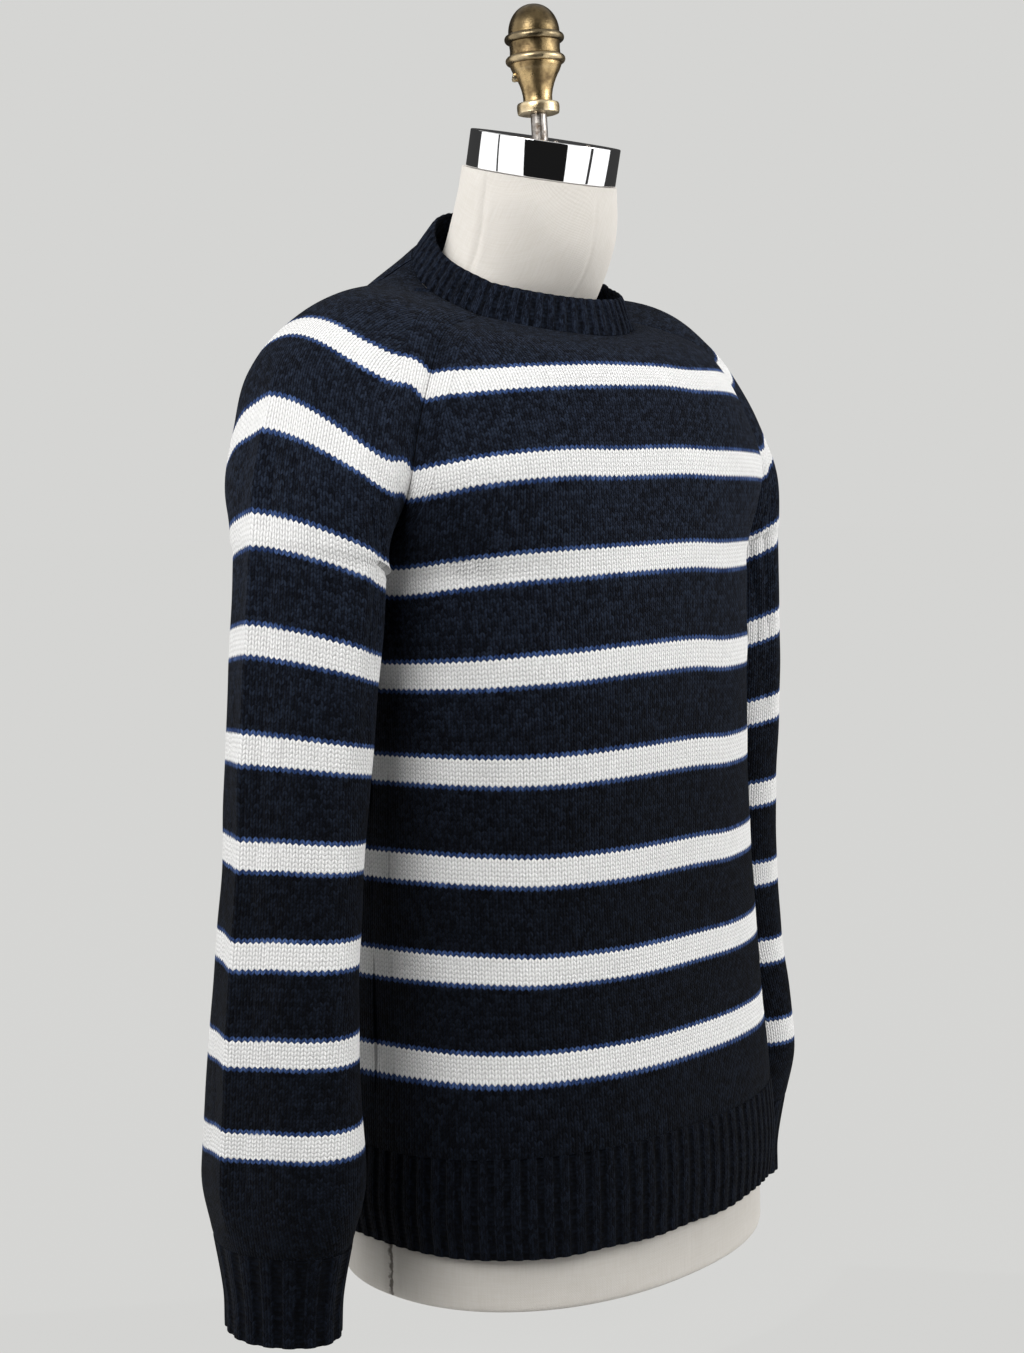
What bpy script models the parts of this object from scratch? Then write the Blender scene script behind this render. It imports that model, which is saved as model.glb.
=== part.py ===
"""Crewneck sweater with raglan sleeves, worn on a limbless dress form.

Units are metres, +Z is up and the front faces -Y, so the wearer's right arm is on -X.
Heights are measured from the surface that the form stands on.
"""
import math

import bmesh
import bpy
from mathutils import Matrix, Vector

# Cloth
WALL = 0.0026              # thickness of the knitted cloth
SEAM_GAP = 0.0003          # clearance between two pieces at a seam
NECK_GAP = 0.0005          # the same at the neckline, whose pieces have unlike chords

# Heights of the sweater's main levels
HEM_HEIGHT = 0.065
RIB_TOP_HEIGHT = 0.1305
UNDERARM_HEIGHT = 0.5200
CUFF_HEIGHT = 0.029
CUFF_TOP_HEIGHT = 0.090

# Courses dip towards the back, because the back of the sweater hangs lower
COURSE_DIP = -0.030
BODY_SQUARENESS = 2.3      # power of the body's rounded cross-section, 2 is an ellipse
SLEEVE_CREASE = 0.14       # how sharply the sleeve is pressed along its outer side

# Ribs
RIB_DEPTH = 0.0012
HEM_RIBS = 46              # on each of the front and back
CUFF_RIBS = 18
NECK_RIBS = 56

# Neckband
NECKBAND_HEIGHT = 0.0255
NECK_AXIS_Y = 0.013
NECK_TILT = math.radians(14)        # the neck opening's axis leans forward
NECK_SEAM_LEAN_FRONT = math.radians(53)   # how far the seam faces along that axis, at the front
NECK_SEAM_LEAN_BACK = math.radians(25)    # and at the back
NECKBAND_LEAN = math.radians(28)    # how far the band leans in towards the axis

# Mesh density
PANEL_COLUMNS = 20
PANEL_ROWS_BELOW = 9
SLEEVE_COLUMNS = 20
SLEEVE_ROWS_TUBE = 11
YOKE_ROWS = 9              # shared by the panels and the sleeve caps, so that their seams match
FORM_COLUMNS = 32

# Dress form
BASE_HEIGHT = 0.0227
BASE_HALF_WIDTH = 0.100
BASE_HALF_DEPTH = 0.075
FORM_BOTTOM = 0.023
CAP_RADIUS = 0.0535
CAP_THICKNESS = 0.026
CAP_CENTRE = Vector((0.0, -0.010, 0.8095))
CAP_TILT = math.radians(13)         # the neck leans forward
ROD_RADIUS = 0.0058
ROD_LENGTH = 0.0265
FINIAL_FOOT = Vector((0.0, -0.0065, 0.8400))
FINIAL_LEAN = math.radians(-3)


class Profile:
    """A short table of sizes, read smoothly between its rows.

    The first column is the one the rows are read along.
    """

    def __init__(self, columns, rows):
        self.keys = [row[0] for row in rows]
        self.values = {name: [row[i] for row in rows] for i, name in enumerate(columns)}

    def slope(self, values, i):
        first, last = max(i - 1, 0), min(i + 1, len(values) - 1)
        return (values[last] - values[first]) / (self.keys[last] - self.keys[first])

    def read(self, name, at):
        values = self.values[name]
        at = min(max(at, self.keys[0]), self.keys[-1])
        i = 0
        while i < len(self.keys) - 2 and at > self.keys[i + 1]:
            i += 1
        span = self.keys[i + 1] - self.keys[i]
        s = (at - self.keys[i]) / span
        start = values[i] * (1 + 2 * s) + span * self.slope(values, i) * s
        end = values[i + 1] * (3 - 2 * s) - span * self.slope(values, i + 1) * (1 - s)
        return (1 - s) ** 2 * start + s ** 2 * end


# Rings of the body below the underarms, from the hem up
TORSO = Profile(
    ("height", "half_width", "front_depth", "back_depth", "centre_y"), [
        (0.0650, 0.176, 0.140, 0.136, 0.000),
        (0.0930, 0.179, 0.143, 0.140, 0.001),
        (0.1305, 0.176, 0.142, 0.139, 0.002),
        (0.2230, 0.171, 0.137, 0.135, 0.006),
        (0.3230, 0.167, 0.134, 0.132, 0.008),
        (0.4230, 0.166, 0.135, 0.133, 0.009),
        (0.5200, 0.168, 0.1375, 0.1345, 0.0135),
    ])

# Levels of the yoke, from 0 at the underarm to 1 at the neckline: where the raglan seam runs,
# where the sleeve's outer ridge runs, how the sleeve cap bows between its two seams, and the
# middle of the front and back panels
YOKE = Profile(
    ("level", "seam_x", "seam_z", "ridge_x", "ridge_y", "ridge_z", "bow", "wrap",
     "back_rise", "back_in", "front_y", "front_z", "back_y", "back_z", "spread", "back_spread"), [
        (0.00, 0.1680, 0.5196, 0.2550, 0.0135, 0.55144, 0.0600, 180,
         0.000, 0.000, -0.124, 0.5237, 0.148, 0.5156, 90, 90),
        (0.17, 0.1745, 0.5520, 0.2435, 0.0197, 0.59600, 0.0709, 138,
         0.002, 0.000, -0.122, 0.5600, 0.147, 0.5540, 87, 86),
        (0.33, 0.1764, 0.5860, 0.2284, 0.0247, 0.63560, 0.0771, 104,
         0.004, 0.001, -0.119, 0.5960, 0.143, 0.5950, 84, 80),
        (0.50, 0.1653, 0.6210, 0.2136, 0.0308, 0.66770, 0.0785, 88,
         0.008, 0.003, -0.114, 0.6280, 0.137, 0.6370, 82, 76),
        (0.67, 0.1471, 0.6550, 0.1908, 0.0320, 0.69230, 0.0757, 74,
         0.014, 0.008, -0.106, 0.6580, 0.127, 0.6800, 82, 72),
        (0.84, 0.1202, 0.6850, 0.1416, 0.0293, 0.71480, 0.0644, 66,
         0.022, 0.014, -0.088, 0.6740, 0.110, 0.7240, 84, 62),
        (1.00, 0.0745, 0.6975, 0.0782, 0.0240, 0.71450, 0.0440, 62,
         0.044, 0.0130, -0.066, 0.6830, 0.090, 0.7600, 71, 52),
    ])

# Rings of the hanging sleeve, from the cuff's end up to the underarm
SLEEVE = Profile(
    ("height", "centre_x", "centre_y", "half_out", "half_fore", "tilt"), [
        (0.0290, 0.250, 0.007, 0.0340, 0.0470, 0.000),
        (0.0530, 0.249, 0.007, 0.0350, 0.0480, 0.000),
        (0.0900, 0.248, 0.007, 0.0400, 0.0560, 0.000),
        (0.1330, 0.247, 0.007, 0.0450, 0.0670, 0.000),
        (0.2230, 0.241, 0.008, 0.0420, 0.0600, 0.030),
        (0.3230, 0.232, 0.010, 0.0410, 0.0560, 0.080),
        (0.4230, 0.223, 0.013, 0.0430, 0.0580, 0.200),
        (0.53552, 0.2115, 0.0135, 0.0435, 0.0600, 0.366),
    ])

# How each sleeve strays from the mirror image of the other by its cuff: out, back and down
SLEEVE_SWAY = {
    -1: (0.011, 0.000, 0.000),
    1: (-0.009, 0.020, 0.018),
}

# Rings of the padded form, from its flat underside to the shoulders and up the neck
FORM = Profile(
    ("height", "half_width", "front_depth", "back_depth", "centre_y", "lean"), [
        (0.0230, 0.1680, 0.1330, 0.1300, 0.0000, 0),
        (0.0650, 0.1680, 0.1330, 0.1290, 0.0000, 0),
        (0.1800, 0.1620, 0.1280, 0.1250, 0.0030, 0),
        (0.2800, 0.1550, 0.1210, 0.1190, 0.0060, 0),
        (0.3800, 0.1540, 0.1200, 0.1200, 0.0080, 0),
        (0.4800, 0.1570, 0.1240, 0.1270, 0.0090, 0),
        (0.5500, 0.1590, 0.1220, 0.1280, 0.0100, 0),
        (0.6000, 0.1600, 0.1120, 0.1210, 0.0140, 0),
        (0.6400, 0.1620, 0.0950, 0.1080, 0.0190, 0),
        (0.6650, 0.1620, 0.0760, 0.0900, 0.0240, 2),
        (0.6850, 0.1590, 0.0610, 0.0760, 0.0260, 5),
        (0.6940, 0.1520, 0.0520, 0.0680, 0.0265, 8),
        (0.7018, 0.1400, 0.0460, 0.0640, 0.0265, 11),
        (0.7054, 0.1150, 0.0430, 0.0620, 0.0255, 14),
        (0.7081, 0.0900, 0.0415, 0.0620, 0.0240, 16),
        (0.7111, 0.0735, 0.0420, 0.0630, 0.0215, 17),
        (0.7150, 0.0660, 0.0440, 0.0640, 0.0175, 18),
        (0.7230, 0.0630, 0.0465, 0.0655, 0.0120, 18),
        (0.7320, 0.0595, 0.0495, 0.0670, 0.0065, 17),
        (0.7450, 0.0580, 0.0525, 0.0670, 0.0010, 15),
        (0.7600, 0.0575, 0.0545, 0.0645, -0.0030, 14),
        (0.7775, 0.0570, 0.0550, 0.0610, -0.0055, 13),
        (0.7965, 0.0550, 0.0545, 0.0570, -0.0070, 13),
    ])
FORM_SQUARENESS = 2.2


# Shapes shared by the pieces

def blend(a, b, t):
    return a + (b - a) * t


def power(value, exponent):
    """Raise to a power and keep the sign."""
    return math.copysign(abs(value) ** exponent, value)


def torso_point(facing, across, height):
    """A point of the body's ring; facing is -1 at the front, across runs -1 to 1."""
    depth = TORSO.read("front_depth" if facing < 0 else "back_depth", height)
    angle = across * math.pi / 2
    exponent = 2 / BODY_SQUARENESS
    x = TORSO.read("half_width", height) * power(math.sin(angle), exponent)
    y = TORSO.read("centre_y", height) + facing * depth * power(math.cos(angle), exponent)
    dip = min(max((height - HEM_HEIGHT) / 0.05, 0), 1)
    return Vector((x, y, height + COURSE_DIP * y * dip))


def raglan_point(side, facing, level):
    """A point of a raglan seam; side is -1 on the wearer's right."""
    turn = math.radians(YOKE.read("wrap", level))
    y = YOKE.read("ridge_y", level) + facing * YOKE.read("bow", level) * math.sin(turn)
    x = YOKE.read("seam_x", level)
    z = YOKE.read("seam_z", level)
    if facing > 0:
        x -= YOKE.read("back_in", level)
        z += YOKE.read("back_rise", level)
    return Vector((side * x, y, z))


def yoke_point(facing, across, level):
    """A point of the front or back panel above the underarms."""
    seam = raglan_point(1, facing, level)
    name = "front" if facing < 0 else "back"
    middle_y = YOKE.read(name + "_y", level)
    middle_z = YOKE.read(name + "_z", level)
    spread_name = "spread" if facing < 0 else "back_spread"
    spread = math.radians(YOKE.read(spread_name, level))
    exponent = 2 / blend(BODY_SQUARENESS, 2, level)
    angle = across * spread
    x = seam.x * power(math.sin(angle) / math.sin(spread), exponent)
    edge = max(math.cos(spread), 0) ** exponent
    bend = (1 - max(math.cos(angle), 0) ** exponent) / (1 - edge)
    return Vector((x, blend(middle_y, seam.y, bend), blend(middle_z, seam.z, bend)))


def body_point(facing, across, up):
    """A point of the front or back; up is 0 at the rib, 1 at the underarm, 2 at the neckline."""
    if up <= 1:
        return torso_point(facing, across, blend(RIB_TOP_HEIGHT, UNDERARM_HEIGHT, up))
    return yoke_point(facing, across, up - 1)


def crease_power(level):
    """The pressed crease fades out above the underarm."""
    return 1 + SLEEVE_CREASE * min(max(1 - level / 0.5, 0), 1)


def cap_point(side, around, level):
    """A point of the sleeve cap; around is -1 at the front seam and 1 at the back seam."""
    facing = -1 if around < 0 else 1
    wrap = math.radians(YOKE.read("wrap", level))
    turn = wrap * abs(around)
    bend = (1 - math.cos(turn)) / (1 - math.cos(wrap))
    bow = power(math.sin(turn), crease_power(level)) * YOKE.read("bow", level)
    if level > 0:
        edge = math.sin(wrap)
        bow *= blend(1, power(edge, 1 - crease_power(level)) if edge > 0.05 else 1, abs(around) ** 4)
    y = YOKE.read("ridge_y", level) + facing * bow
    front, back = raglan_point(side, -1, level), raglan_point(side, 1, level)
    lift_x = side * YOKE.read("ridge_x", level) - (front.x + back.x) / 2
    lift_z = YOKE.read("ridge_z", level) - (front.z + back.z) / 2
    share = (1 + around) / 2
    return Vector((blend(front.x, back.x, share) + lift_x * (1 - bend), y,
                   blend(front.z, back.z, share) + lift_z * (1 - bend)))


def tube_point(side, around, height):
    """A point of the hanging sleeve; around is 0 at the outer side and 1 or -1 at the inner."""
    out, back, down = SLEEVE_SWAY[side]
    fall = min(max((UNDERARM_HEIGHT - height) / (UNDERARM_HEIGHT - 0.2), 0), 1)
    stray = fall * fall * (3 - 2 * fall)
    drop = down * min(max((UNDERARM_HEIGHT - height) / (UNDERARM_HEIGHT - CUFF_HEIGHT), 0), 1)
    angle = around * math.pi
    exponent = crease_power(0) if abs(around) < 0.5 else 1
    dx = SLEEVE.read("half_out", height) * power(math.cos(angle), exponent)
    dy = SLEEVE.read("half_fore", height) * power(math.sin(angle), exponent)
    x = SLEEVE.read("centre_x", height) + out * stray + dx
    y = SLEEVE.read("centre_y", height) + back * stray + dy
    return Vector((side * x, y, height - drop + SLEEVE.read("tilt", height) * dx))


def sleeve_point(side, around, down):
    """A point of the sleeve; down is 0 at the neckline, 1 at the underarm, 2 at the cuff."""
    if down <= 1:
        return cap_point(side, around, 1 - down)
    return tube_point(side, around, blend(SLEEVE.keys[-1], CUFF_TOP_HEIGHT, down - 1))


def surface_normal(surface, u, v):
    """Unit normal of a surface of two variables, from small steps either way."""
    step = 0.004
    along_u = surface(u + step, v) - surface(u - step, v)
    along_v = surface(u, v + step) - surface(u, v - step)
    return along_u.cross(along_v).normalized()


def even_steps(curve, first, last, count):
    """Values between first and last that cut a curve into equal lengths."""
    fine = 240
    values = [blend(first, last, i / fine) for i in range(fine + 1)]
    points = [curve(value) for value in values]
    lengths = [0.0]
    for a, b in zip(points, points[1:]):
        lengths.append(lengths[-1] + (b - a).length)
    steps = []
    i = 0
    for k in range(count + 1):
        target = lengths[-1] * k / count
        while i < fine - 1 and lengths[i + 1] < target:
            i += 1
        part = (target - lengths[i]) / (lengths[i + 1] - lengths[i])
        steps.append(blend(values[i], values[i + 1], min(max(part, 0), 1)))
    return steps


# Seams: each gives the direction that faces out of the cloth and the direction across the seam

def raglan_frame(side, facing, level):
    """Point, outward direction, and direction from the body panel to the sleeve."""
    point = raglan_point(side, facing, level)
    sideways = Vector((side, 0, 0))
    if level == 0:
        return point, Vector((0, 0, -1)), sideways
    step = 0.01
    low, high = max(level - step, 0), min(level + step, 1)
    along = (raglan_point(side, facing, high) - raglan_point(side, facing, low)).normalized()
    near = 0.06
    sleeve = cap_point(side, facing * (1 - near), level)
    panel = yoke_point(facing, side * (1 - near), level)
    across = sideways.lerp((sleeve - panel).normalized(), min(level / 0.3, 1))
    across = (across - along * across.dot(along)).normalized()
    outward = (along.cross(across) * (facing * side)).normalized()
    return point, outward, across


def neck_axes(point):
    """The neck opening's own upward axis, and the direction away from it, square to it."""
    axis = Vector((0, -math.sin(NECK_TILT), math.cos(NECK_TILT)))
    away = Vector((point.x, point.y - NECK_AXIS_Y, 0))
    return axis, (away - axis * away.dot(axis)).normalized()


def neck_frame(point):
    """Outward direction and direction towards the neckband at a point of the neckline."""
    axis, away = neck_axes(point)
    front, back = YOKE.read("front_y", 1), YOKE.read("back_y", 1)
    share = min(max((point.y - front) / (back - front), 0), 1)
    lean = blend(NECK_SEAM_LEAN_FRONT, NECK_SEAM_LEAN_BACK, share)
    outward = away * math.cos(lean) + axis * math.sin(lean)
    towards_band = axis * math.cos(lean) - away * math.sin(lean)
    return outward, towards_band


# Building blocks

def new_object(name, mesh, parent, material):
    part = bpy.data.objects.new(name, mesh)
    PARTS.objects.link(part)
    part.parent = parent
    mesh.materials.append(material)
    return part


def cloth_mesh(name, outer, inner, faces):
    """A closed wall from matching outer and inner points and the outer side's faces.

    The edge strips of two pieces that meet are cut along the same diagonals, so they never touch.
    """
    count = len(outer)
    edges = {}
    for face in faces:
        for a, b in zip(face, face[1:] + face[:1]):
            edges[(a, b)] = True
    walls = []
    for a, b in edges:
        if (b, a) in edges:
            continue
        if outer[a].z < outer[b].z:
            walls += [(b, a, b + count), (a, a + count, b + count)]
        else:
            walls += [(b, a, a + count), (b, a + count, b + count)]
    inside = [tuple(i + count for i in reversed(face)) for face in faces]
    mesh = bpy.data.meshes.new(name)
    mesh.from_pydata([tuple(p) for p in outer + inner], [], faces + inside + walls)
    mesh.update()
    for polygon in mesh.polygons:
        polygon.use_smooth = True
    mesh.set_sharp_from_angle(angle=math.radians(50))
    return mesh


def grid_faces(index, rows, columns, flip):
    """Faces of a grid whose corners share points where index gives the same number."""
    faces = []
    for i in range(rows):
        for j in range(columns):
            corners = [index(i, j), index(i, j + 1), index(i + 1, j + 1), index(i + 1, j)]
            if flip:
                corners.reverse()
            faces.append(tuple(corners))
    return faces


def material(name, colour, roughness, metallic=0.0):
    mat = bpy.data.materials.new(name)
    mat.use_nodes = True
    shader = mat.node_tree.nodes["Principled BSDF"]
    shader.inputs["Base Color"].default_value = (*colour, 1)
    shader.inputs["Roughness"].default_value = roughness
    shader.inputs["Metallic"].default_value = metallic
    mat.diffuse_color = (*colour, 1)
    return mat


# Cloth pieces

def build_panel(name, facing, parent, knit):
    """The front or back panel, from the top of the rib to the neckline."""
    rows = [i / PANEL_ROWS_BELOW for i in range(PANEL_ROWS_BELOW + 1)]
    rows += [1 + (i + 1) / YOKE_ROWS for i in range(YOKE_ROWS)]
    columns = even_steps(lambda a: body_point(facing, a, 0.9), -1, 1, PANEL_COLUMNS)
    half_gap = SEAM_GAP / 2
    outer, inner = [], []
    for up in rows:
        for j, across in enumerate(columns):
            point = body_point(facing, across, up)
            near_edge = min(max(across, -0.97), 0.97)
            near_up = min(max(up, 0.01), 1.985)
            normal = surface_normal(lambda a, u: body_point(facing, a, u), near_edge, near_up)
            normal *= -facing
            shift = Vector()
            if j in (0, PANEL_COLUMNS):
                side = -1 if j == 0 else 1
                if up < 1:
                    normal = Vector((side, 0, 0))
                    shift = Vector((0, facing * half_gap, 0))
                else:
                    point, normal, towards_sleeve = raglan_frame(side, facing, up - 1)
                    shift = towards_sleeve * -half_gap
                    if up == 1:
                        shift += Vector((0, facing * half_gap, -half_gap))
            if up == 0:
                normal = Vector((normal.x, normal.y, 0)).normalized()
                shift += Vector((0, 0, half_gap))
            if up == 2:
                normal, towards_band = neck_frame(point)
                shift += towards_band * (-NECK_GAP / 2)
            outer.append(point + shift)
            inner.append(point + shift - normal * WALL)
    width = PANEL_COLUMNS + 1
    faces = grid_faces(lambda i, j: i * width + j, len(rows) - 1, PANEL_COLUMNS, facing > 0)
    return new_object(name, cloth_mesh(name, outer, inner, faces), parent, knit)


def build_sleeve(name, side, parent, knit):
    """A sleeve in one piece: open along its two raglan edges, then a tube down to the cuff."""
    rows = [i / YOKE_ROWS for i in range(YOKE_ROWS + 1)]
    rows += [1 + (i + 1) / SLEEVE_ROWS_TUBE for i in range(SLEEVE_ROWS_TUBE)]
    half_gap = SEAM_GAP / 2
    outer, inner = [], []
    for down in rows:
        columns = even_steps(lambda a: sleeve_point(side, a, down), -1, 1, SLEEVE_COLUMNS)
        columns[SLEEVE_COLUMNS // 2] = 0
        for j, around in enumerate(columns):
            point = sleeve_point(side, around, down)
            near_edge = min(max(around, -0.97), 0.97) if down <= 1 else around
            near_down = min(max(down, 0.015), 1.985)
            normal = surface_normal(lambda a, d: sleeve_point(side, a, d), near_edge, near_down)
            normal *= -side
            shift = Vector()
            if j in (0, SLEEVE_COLUMNS) and down <= 1:
                facing = -1 if j == 0 else 1
                point, normal, towards_sleeve = raglan_frame(side, facing, 1 - down)
                shift = towards_sleeve * half_gap
                if down == 1:
                    normal = Vector((0, 0, -1))
                    shift = Vector((side * half_gap, 0, -half_gap))
            if down == 2:
                normal = Vector((normal.x, normal.y, 0)).normalized()
                shift += Vector((0, 0, half_gap))
            if down == 0:
                normal, towards_band = neck_frame(point)
                shift += towards_band * (-NECK_GAP / 2)
            outer.append(point + shift)
            inner.append(point + shift - normal * WALL)
    width = SLEEVE_COLUMNS + 1

    def index(i, j):
        closed = i >= YOKE_ROWS
        return i * width + (0 if closed and j == SLEEVE_COLUMNS else j)

    faces = grid_faces(index, len(rows) - 1, SLEEVE_COLUMNS, side > 0)
    mesh = cloth_mesh(name, outer, inner, faces)
    drop_loose_points(mesh)
    return new_object(name, mesh, parent, knit)


def drop_loose_points(mesh):
    """Remove the spare points of columns that close on themselves."""
    work = bmesh.new()
    work.from_mesh(mesh)
    bmesh.ops.delete(work, geom=[v for v in work.verts if not v.link_faces], context="VERTS")
    work.to_mesh(mesh)
    work.free()


def rib_height(column):
    """Ribs stand on every other column, with a valley between."""
    return 0 if column % 2 else -RIB_DEPTH


def build_hem_rib(name, facing, parent, knit):
    """Rib along the lower edge of the front or back."""
    heights = [HEM_HEIGHT, 0.099, RIB_TOP_HEIGHT]
    columns = even_steps(lambda a: torso_point(facing, a, 0.1), -1, 1, 2 * HEM_RIBS)
    half_gap = SEAM_GAP / 2
    outer, inner = [], []
    for height in heights:
        for j, across in enumerate(columns):
            point = torso_point(facing, across, height)
            near = min(max(across, -0.985), 0.985)
            normal = surface_normal(lambda a, h: torso_point(facing, a, h), near, height)
            normal = Vector((-facing * normal.x, -facing * normal.y, 0)).normalized()
            shift = Vector()
            if j in (0, 2 * HEM_RIBS):
                normal = Vector((-1 if j == 0 else 1, 0, 0))
                shift = Vector((0, facing * half_gap, 0))
            if height == RIB_TOP_HEIGHT:
                shift += Vector((0, 0, -half_gap))
            outer.append(point + shift + normal * rib_height(j))
            inner.append(point + shift - normal * WALL)
    width = 2 * HEM_RIBS + 1
    faces = grid_faces(lambda i, j: i * width + j, len(heights) - 1, 2 * HEM_RIBS, facing > 0)
    return new_object(name, cloth_mesh(name, outer, inner, faces), parent, knit)


def build_cuff(name, side, parent, knit):
    """Ribbed tube at the end of a sleeve."""
    heights = [CUFF_HEIGHT, 0.056, CUFF_TOP_HEIGHT]
    count = 2 * CUFF_RIBS
    outer, inner = [], []
    for height in heights:
        columns = even_steps(lambda a: tube_point(side, a, height), -1, 1, count)
        for j, around in enumerate(columns[:-1]):
            point = tube_point(side, around, height)
            normal = surface_normal(lambda a, h: tube_point(side, a, h), around, height)
            normal = Vector((side * normal.x, side * normal.y, 0)).normalized()
            if height == CUFF_TOP_HEIGHT:
                point.z -= SEAM_GAP / 2
            outer.append(point + normal * rib_height(j))
            inner.append(point - normal * WALL)
    faces = grid_faces(lambda i, j: i * count + j % count, len(heights) - 1, count, side < 0)
    return new_object(name, cloth_mesh(name, outer, inner, faces), parent, knit)


def neckline(turn):
    """The neckline as one closed curve: front, left cap, back and right cap, 1 unit each."""
    turn %= 4
    if turn < 1:
        return yoke_point(-1, 2 * turn - 1, 1)
    if turn < 2:
        return cap_point(1, 2 * turn - 3, 1)
    if turn < 3:
        return yoke_point(1, 5 - 2 * turn, 1)
    return cap_point(-1, 7 - 2 * turn, 1)


def build_neckband(name, parent, knit):
    """Ribbed band standing up from the neckline and leaning in a little."""
    count = 2 * NECK_RIBS
    turns = even_steps(neckline, 0, 3.99999, count)[:-1]
    for corner in (1, 2, 3):
        nearest = min(range(count), key=lambda k: abs(turns[k] - corner))
        turns[nearest] = corner
    outer, inner = [], []
    for height in (0, NECKBAND_HEIGHT / 2, NECKBAND_HEIGHT):
        for j, turn in enumerate(turns):
            seam = neckline(turn)
            seam_normal, towards_band = neck_frame(seam)
            axis, away = neck_axes(seam)
            rise = axis * math.cos(NECKBAND_LEAN) - away * math.sin(NECKBAND_LEAN)
            face = away * math.cos(NECKBAND_LEAN) + axis * math.sin(NECKBAND_LEAN)
            normal = seam_normal if height == 0 else face
            point = seam + towards_band * (NECK_GAP / 2) + rise * height
            outer.append(point + normal * rib_height(j))
            inner.append(point - normal * WALL)
    faces = grid_faces(lambda i, j: i * count + j % count, 2, count, False)
    return new_object(name, cloth_mesh(name, outer, inner, faces), parent, knit)


# The dress form

def form_ring(height):
    """One level of the padded form, leaning forward up the neck."""
    centre = Vector((0, FORM.read("centre_y", height), height))
    lean = Matrix.Rotation(math.radians(FORM.read("lean", height)), 3, "X")
    exponent = 2 / blend(FORM_SQUARENESS, 2, min(max((height - 0.6) / 0.1, 0), 1))
    ring = []
    for k in range(FORM_COLUMNS):
        angle = 2 * math.pi * k / FORM_COLUMNS
        depth = FORM.read("front_depth" if math.sin(angle) < 0 else "back_depth", height)
        x = FORM.read("half_width", height) * power(math.cos(angle), exponent)
        y = depth * power(math.sin(angle), exponent)
        ring.append(centre + lean @ Vector((x, y, 0)))
    return ring


def build_form_torso(name, parent, linen):
    """Padded torso and neck, closed by its flat underside and the flat top of the neck."""
    heights = [FORM_BOTTOM, 0.065, 0.12, 0.18, 0.24, 0.31, 0.38, 0.45, 0.51, 0.56, 0.60, 0.63,
               0.65, 0.666, 0.677, 0.686, 0.693, 0.698, 0.7018, 0.7045, 0.7065, 0.7085, 0.7111,
               0.713, 0.7165, 0.721, 0.727, 0.734, 0.745, 0.760, 0.7775, FORM.keys[-1]]
    mesh = bpy.data.meshes.new(name)
    work = bmesh.new()
    rings = [[work.verts.new(p) for p in form_ring(height)] for height in heights]
    for low, high in zip(rings, rings[1:]):
        for k in range(FORM_COLUMNS):
            following = (k + 1) % FORM_COLUMNS
            work.faces.new((low[k], low[following], high[following], high[k]))
    work.faces.new(list(reversed(rings[0])))
    work.faces.new(rings[-1])
    work.to_mesh(mesh)
    work.free()
    for polygon in mesh.polygons:
        polygon.use_smooth = True
    mesh.set_sharp_from_angle(angle=math.radians(50))
    return new_object(name, mesh, parent, linen)


def build_base(name, parent, wood):
    """Plain recessed block that the form stands on."""
    bpy.ops.mesh.primitive_cylinder_add(vertices=40, radius=1, depth=BASE_HEIGHT)
    part = adopt(bpy.context.object, name, parent, wood)
    part.location = (0, 0, BASE_HEIGHT / 2)
    part.data.transform(Matrix.Diagonal((BASE_HALF_WIDTH, BASE_HALF_DEPTH, 1, 1)))
    return part


def adopt(part, name, parent, surface):
    """Move a primitive into the parts' collection under its own name."""
    for collection in list(part.users_collection):
        collection.objects.unlink(part)
    PARTS.objects.link(part)
    part.name = name
    part.data.name = name
    part.parent = parent
    part.data.materials.append(surface)
    part.data.shade_smooth()
    part.data.set_sharp_from_angle(angle=math.radians(40))
    return part


def build_neck_cap(name, parent, chrome):
    """Polished cap on the neck, tilted forward with it."""
    bpy.ops.mesh.primitive_cylinder_add(vertices=48, radius=CAP_RADIUS, depth=CAP_THICKNESS)
    part = adopt(bpy.context.object, name, parent, chrome)
    part.location = CAP_CENTRE
    part.rotation_euler = (CAP_TILT, 0, 0)
    bevel = part.modifiers.new("rounded rims", "BEVEL")
    bevel.width = 0.0008
    bevel.segments = 2
    bevel.limit_method = "ANGLE"
    socket = part.modifiers.new("rod socket", "BOOLEAN")
    socket.operation = "DIFFERENCE"
    socket.object = build_rod_socket()
    return part


def rod_axis():
    return Matrix.Rotation(FINIAL_LEAN, 3, "X") @ Vector((0, 0, 1))


def build_rod_socket():
    """Cutter for the blind hole that the rod stands in."""
    depth = ROD_LENGTH + 2 * SEAM_GAP
    bpy.ops.mesh.primitive_cylinder_add(vertices=24, radius=ROD_RADIUS + SEAM_GAP, depth=depth)
    cutter = bpy.context.object
    for collection in list(cutter.users_collection):
        collection.objects.unlink(cutter)
    CUTTERS.objects.link(cutter)
    cutter.name = "rod_socket"
    cutter.location = FINIAL_FOOT - rod_axis() * (ROD_LENGTH / 2)
    cutter.rotation_euler = (FINIAL_LEAN, 0, 0)
    cutter.hide_render = True
    cutter.display_type = "WIRE"
    return cutter


def turned_part(name, profile, steps, parent, surface):
    """A profile of (radius, height) pairs from the top down, turned about Z."""
    mesh = bpy.data.meshes.new(name)
    points = [(radius, 0, height) for radius, height in profile]
    mesh.from_pydata(points, [(i, i + 1) for i in range(len(points) - 1)], [])
    part = new_object(name, mesh, parent, surface)
    screw = part.modifiers.new("turn", "SCREW")
    screw.steps = steps
    screw.render_steps = steps
    screw.use_merge_vertices = True
    screw.merge_threshold = 0.00005
    screw.use_smooth_shade = True
    return part


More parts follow.
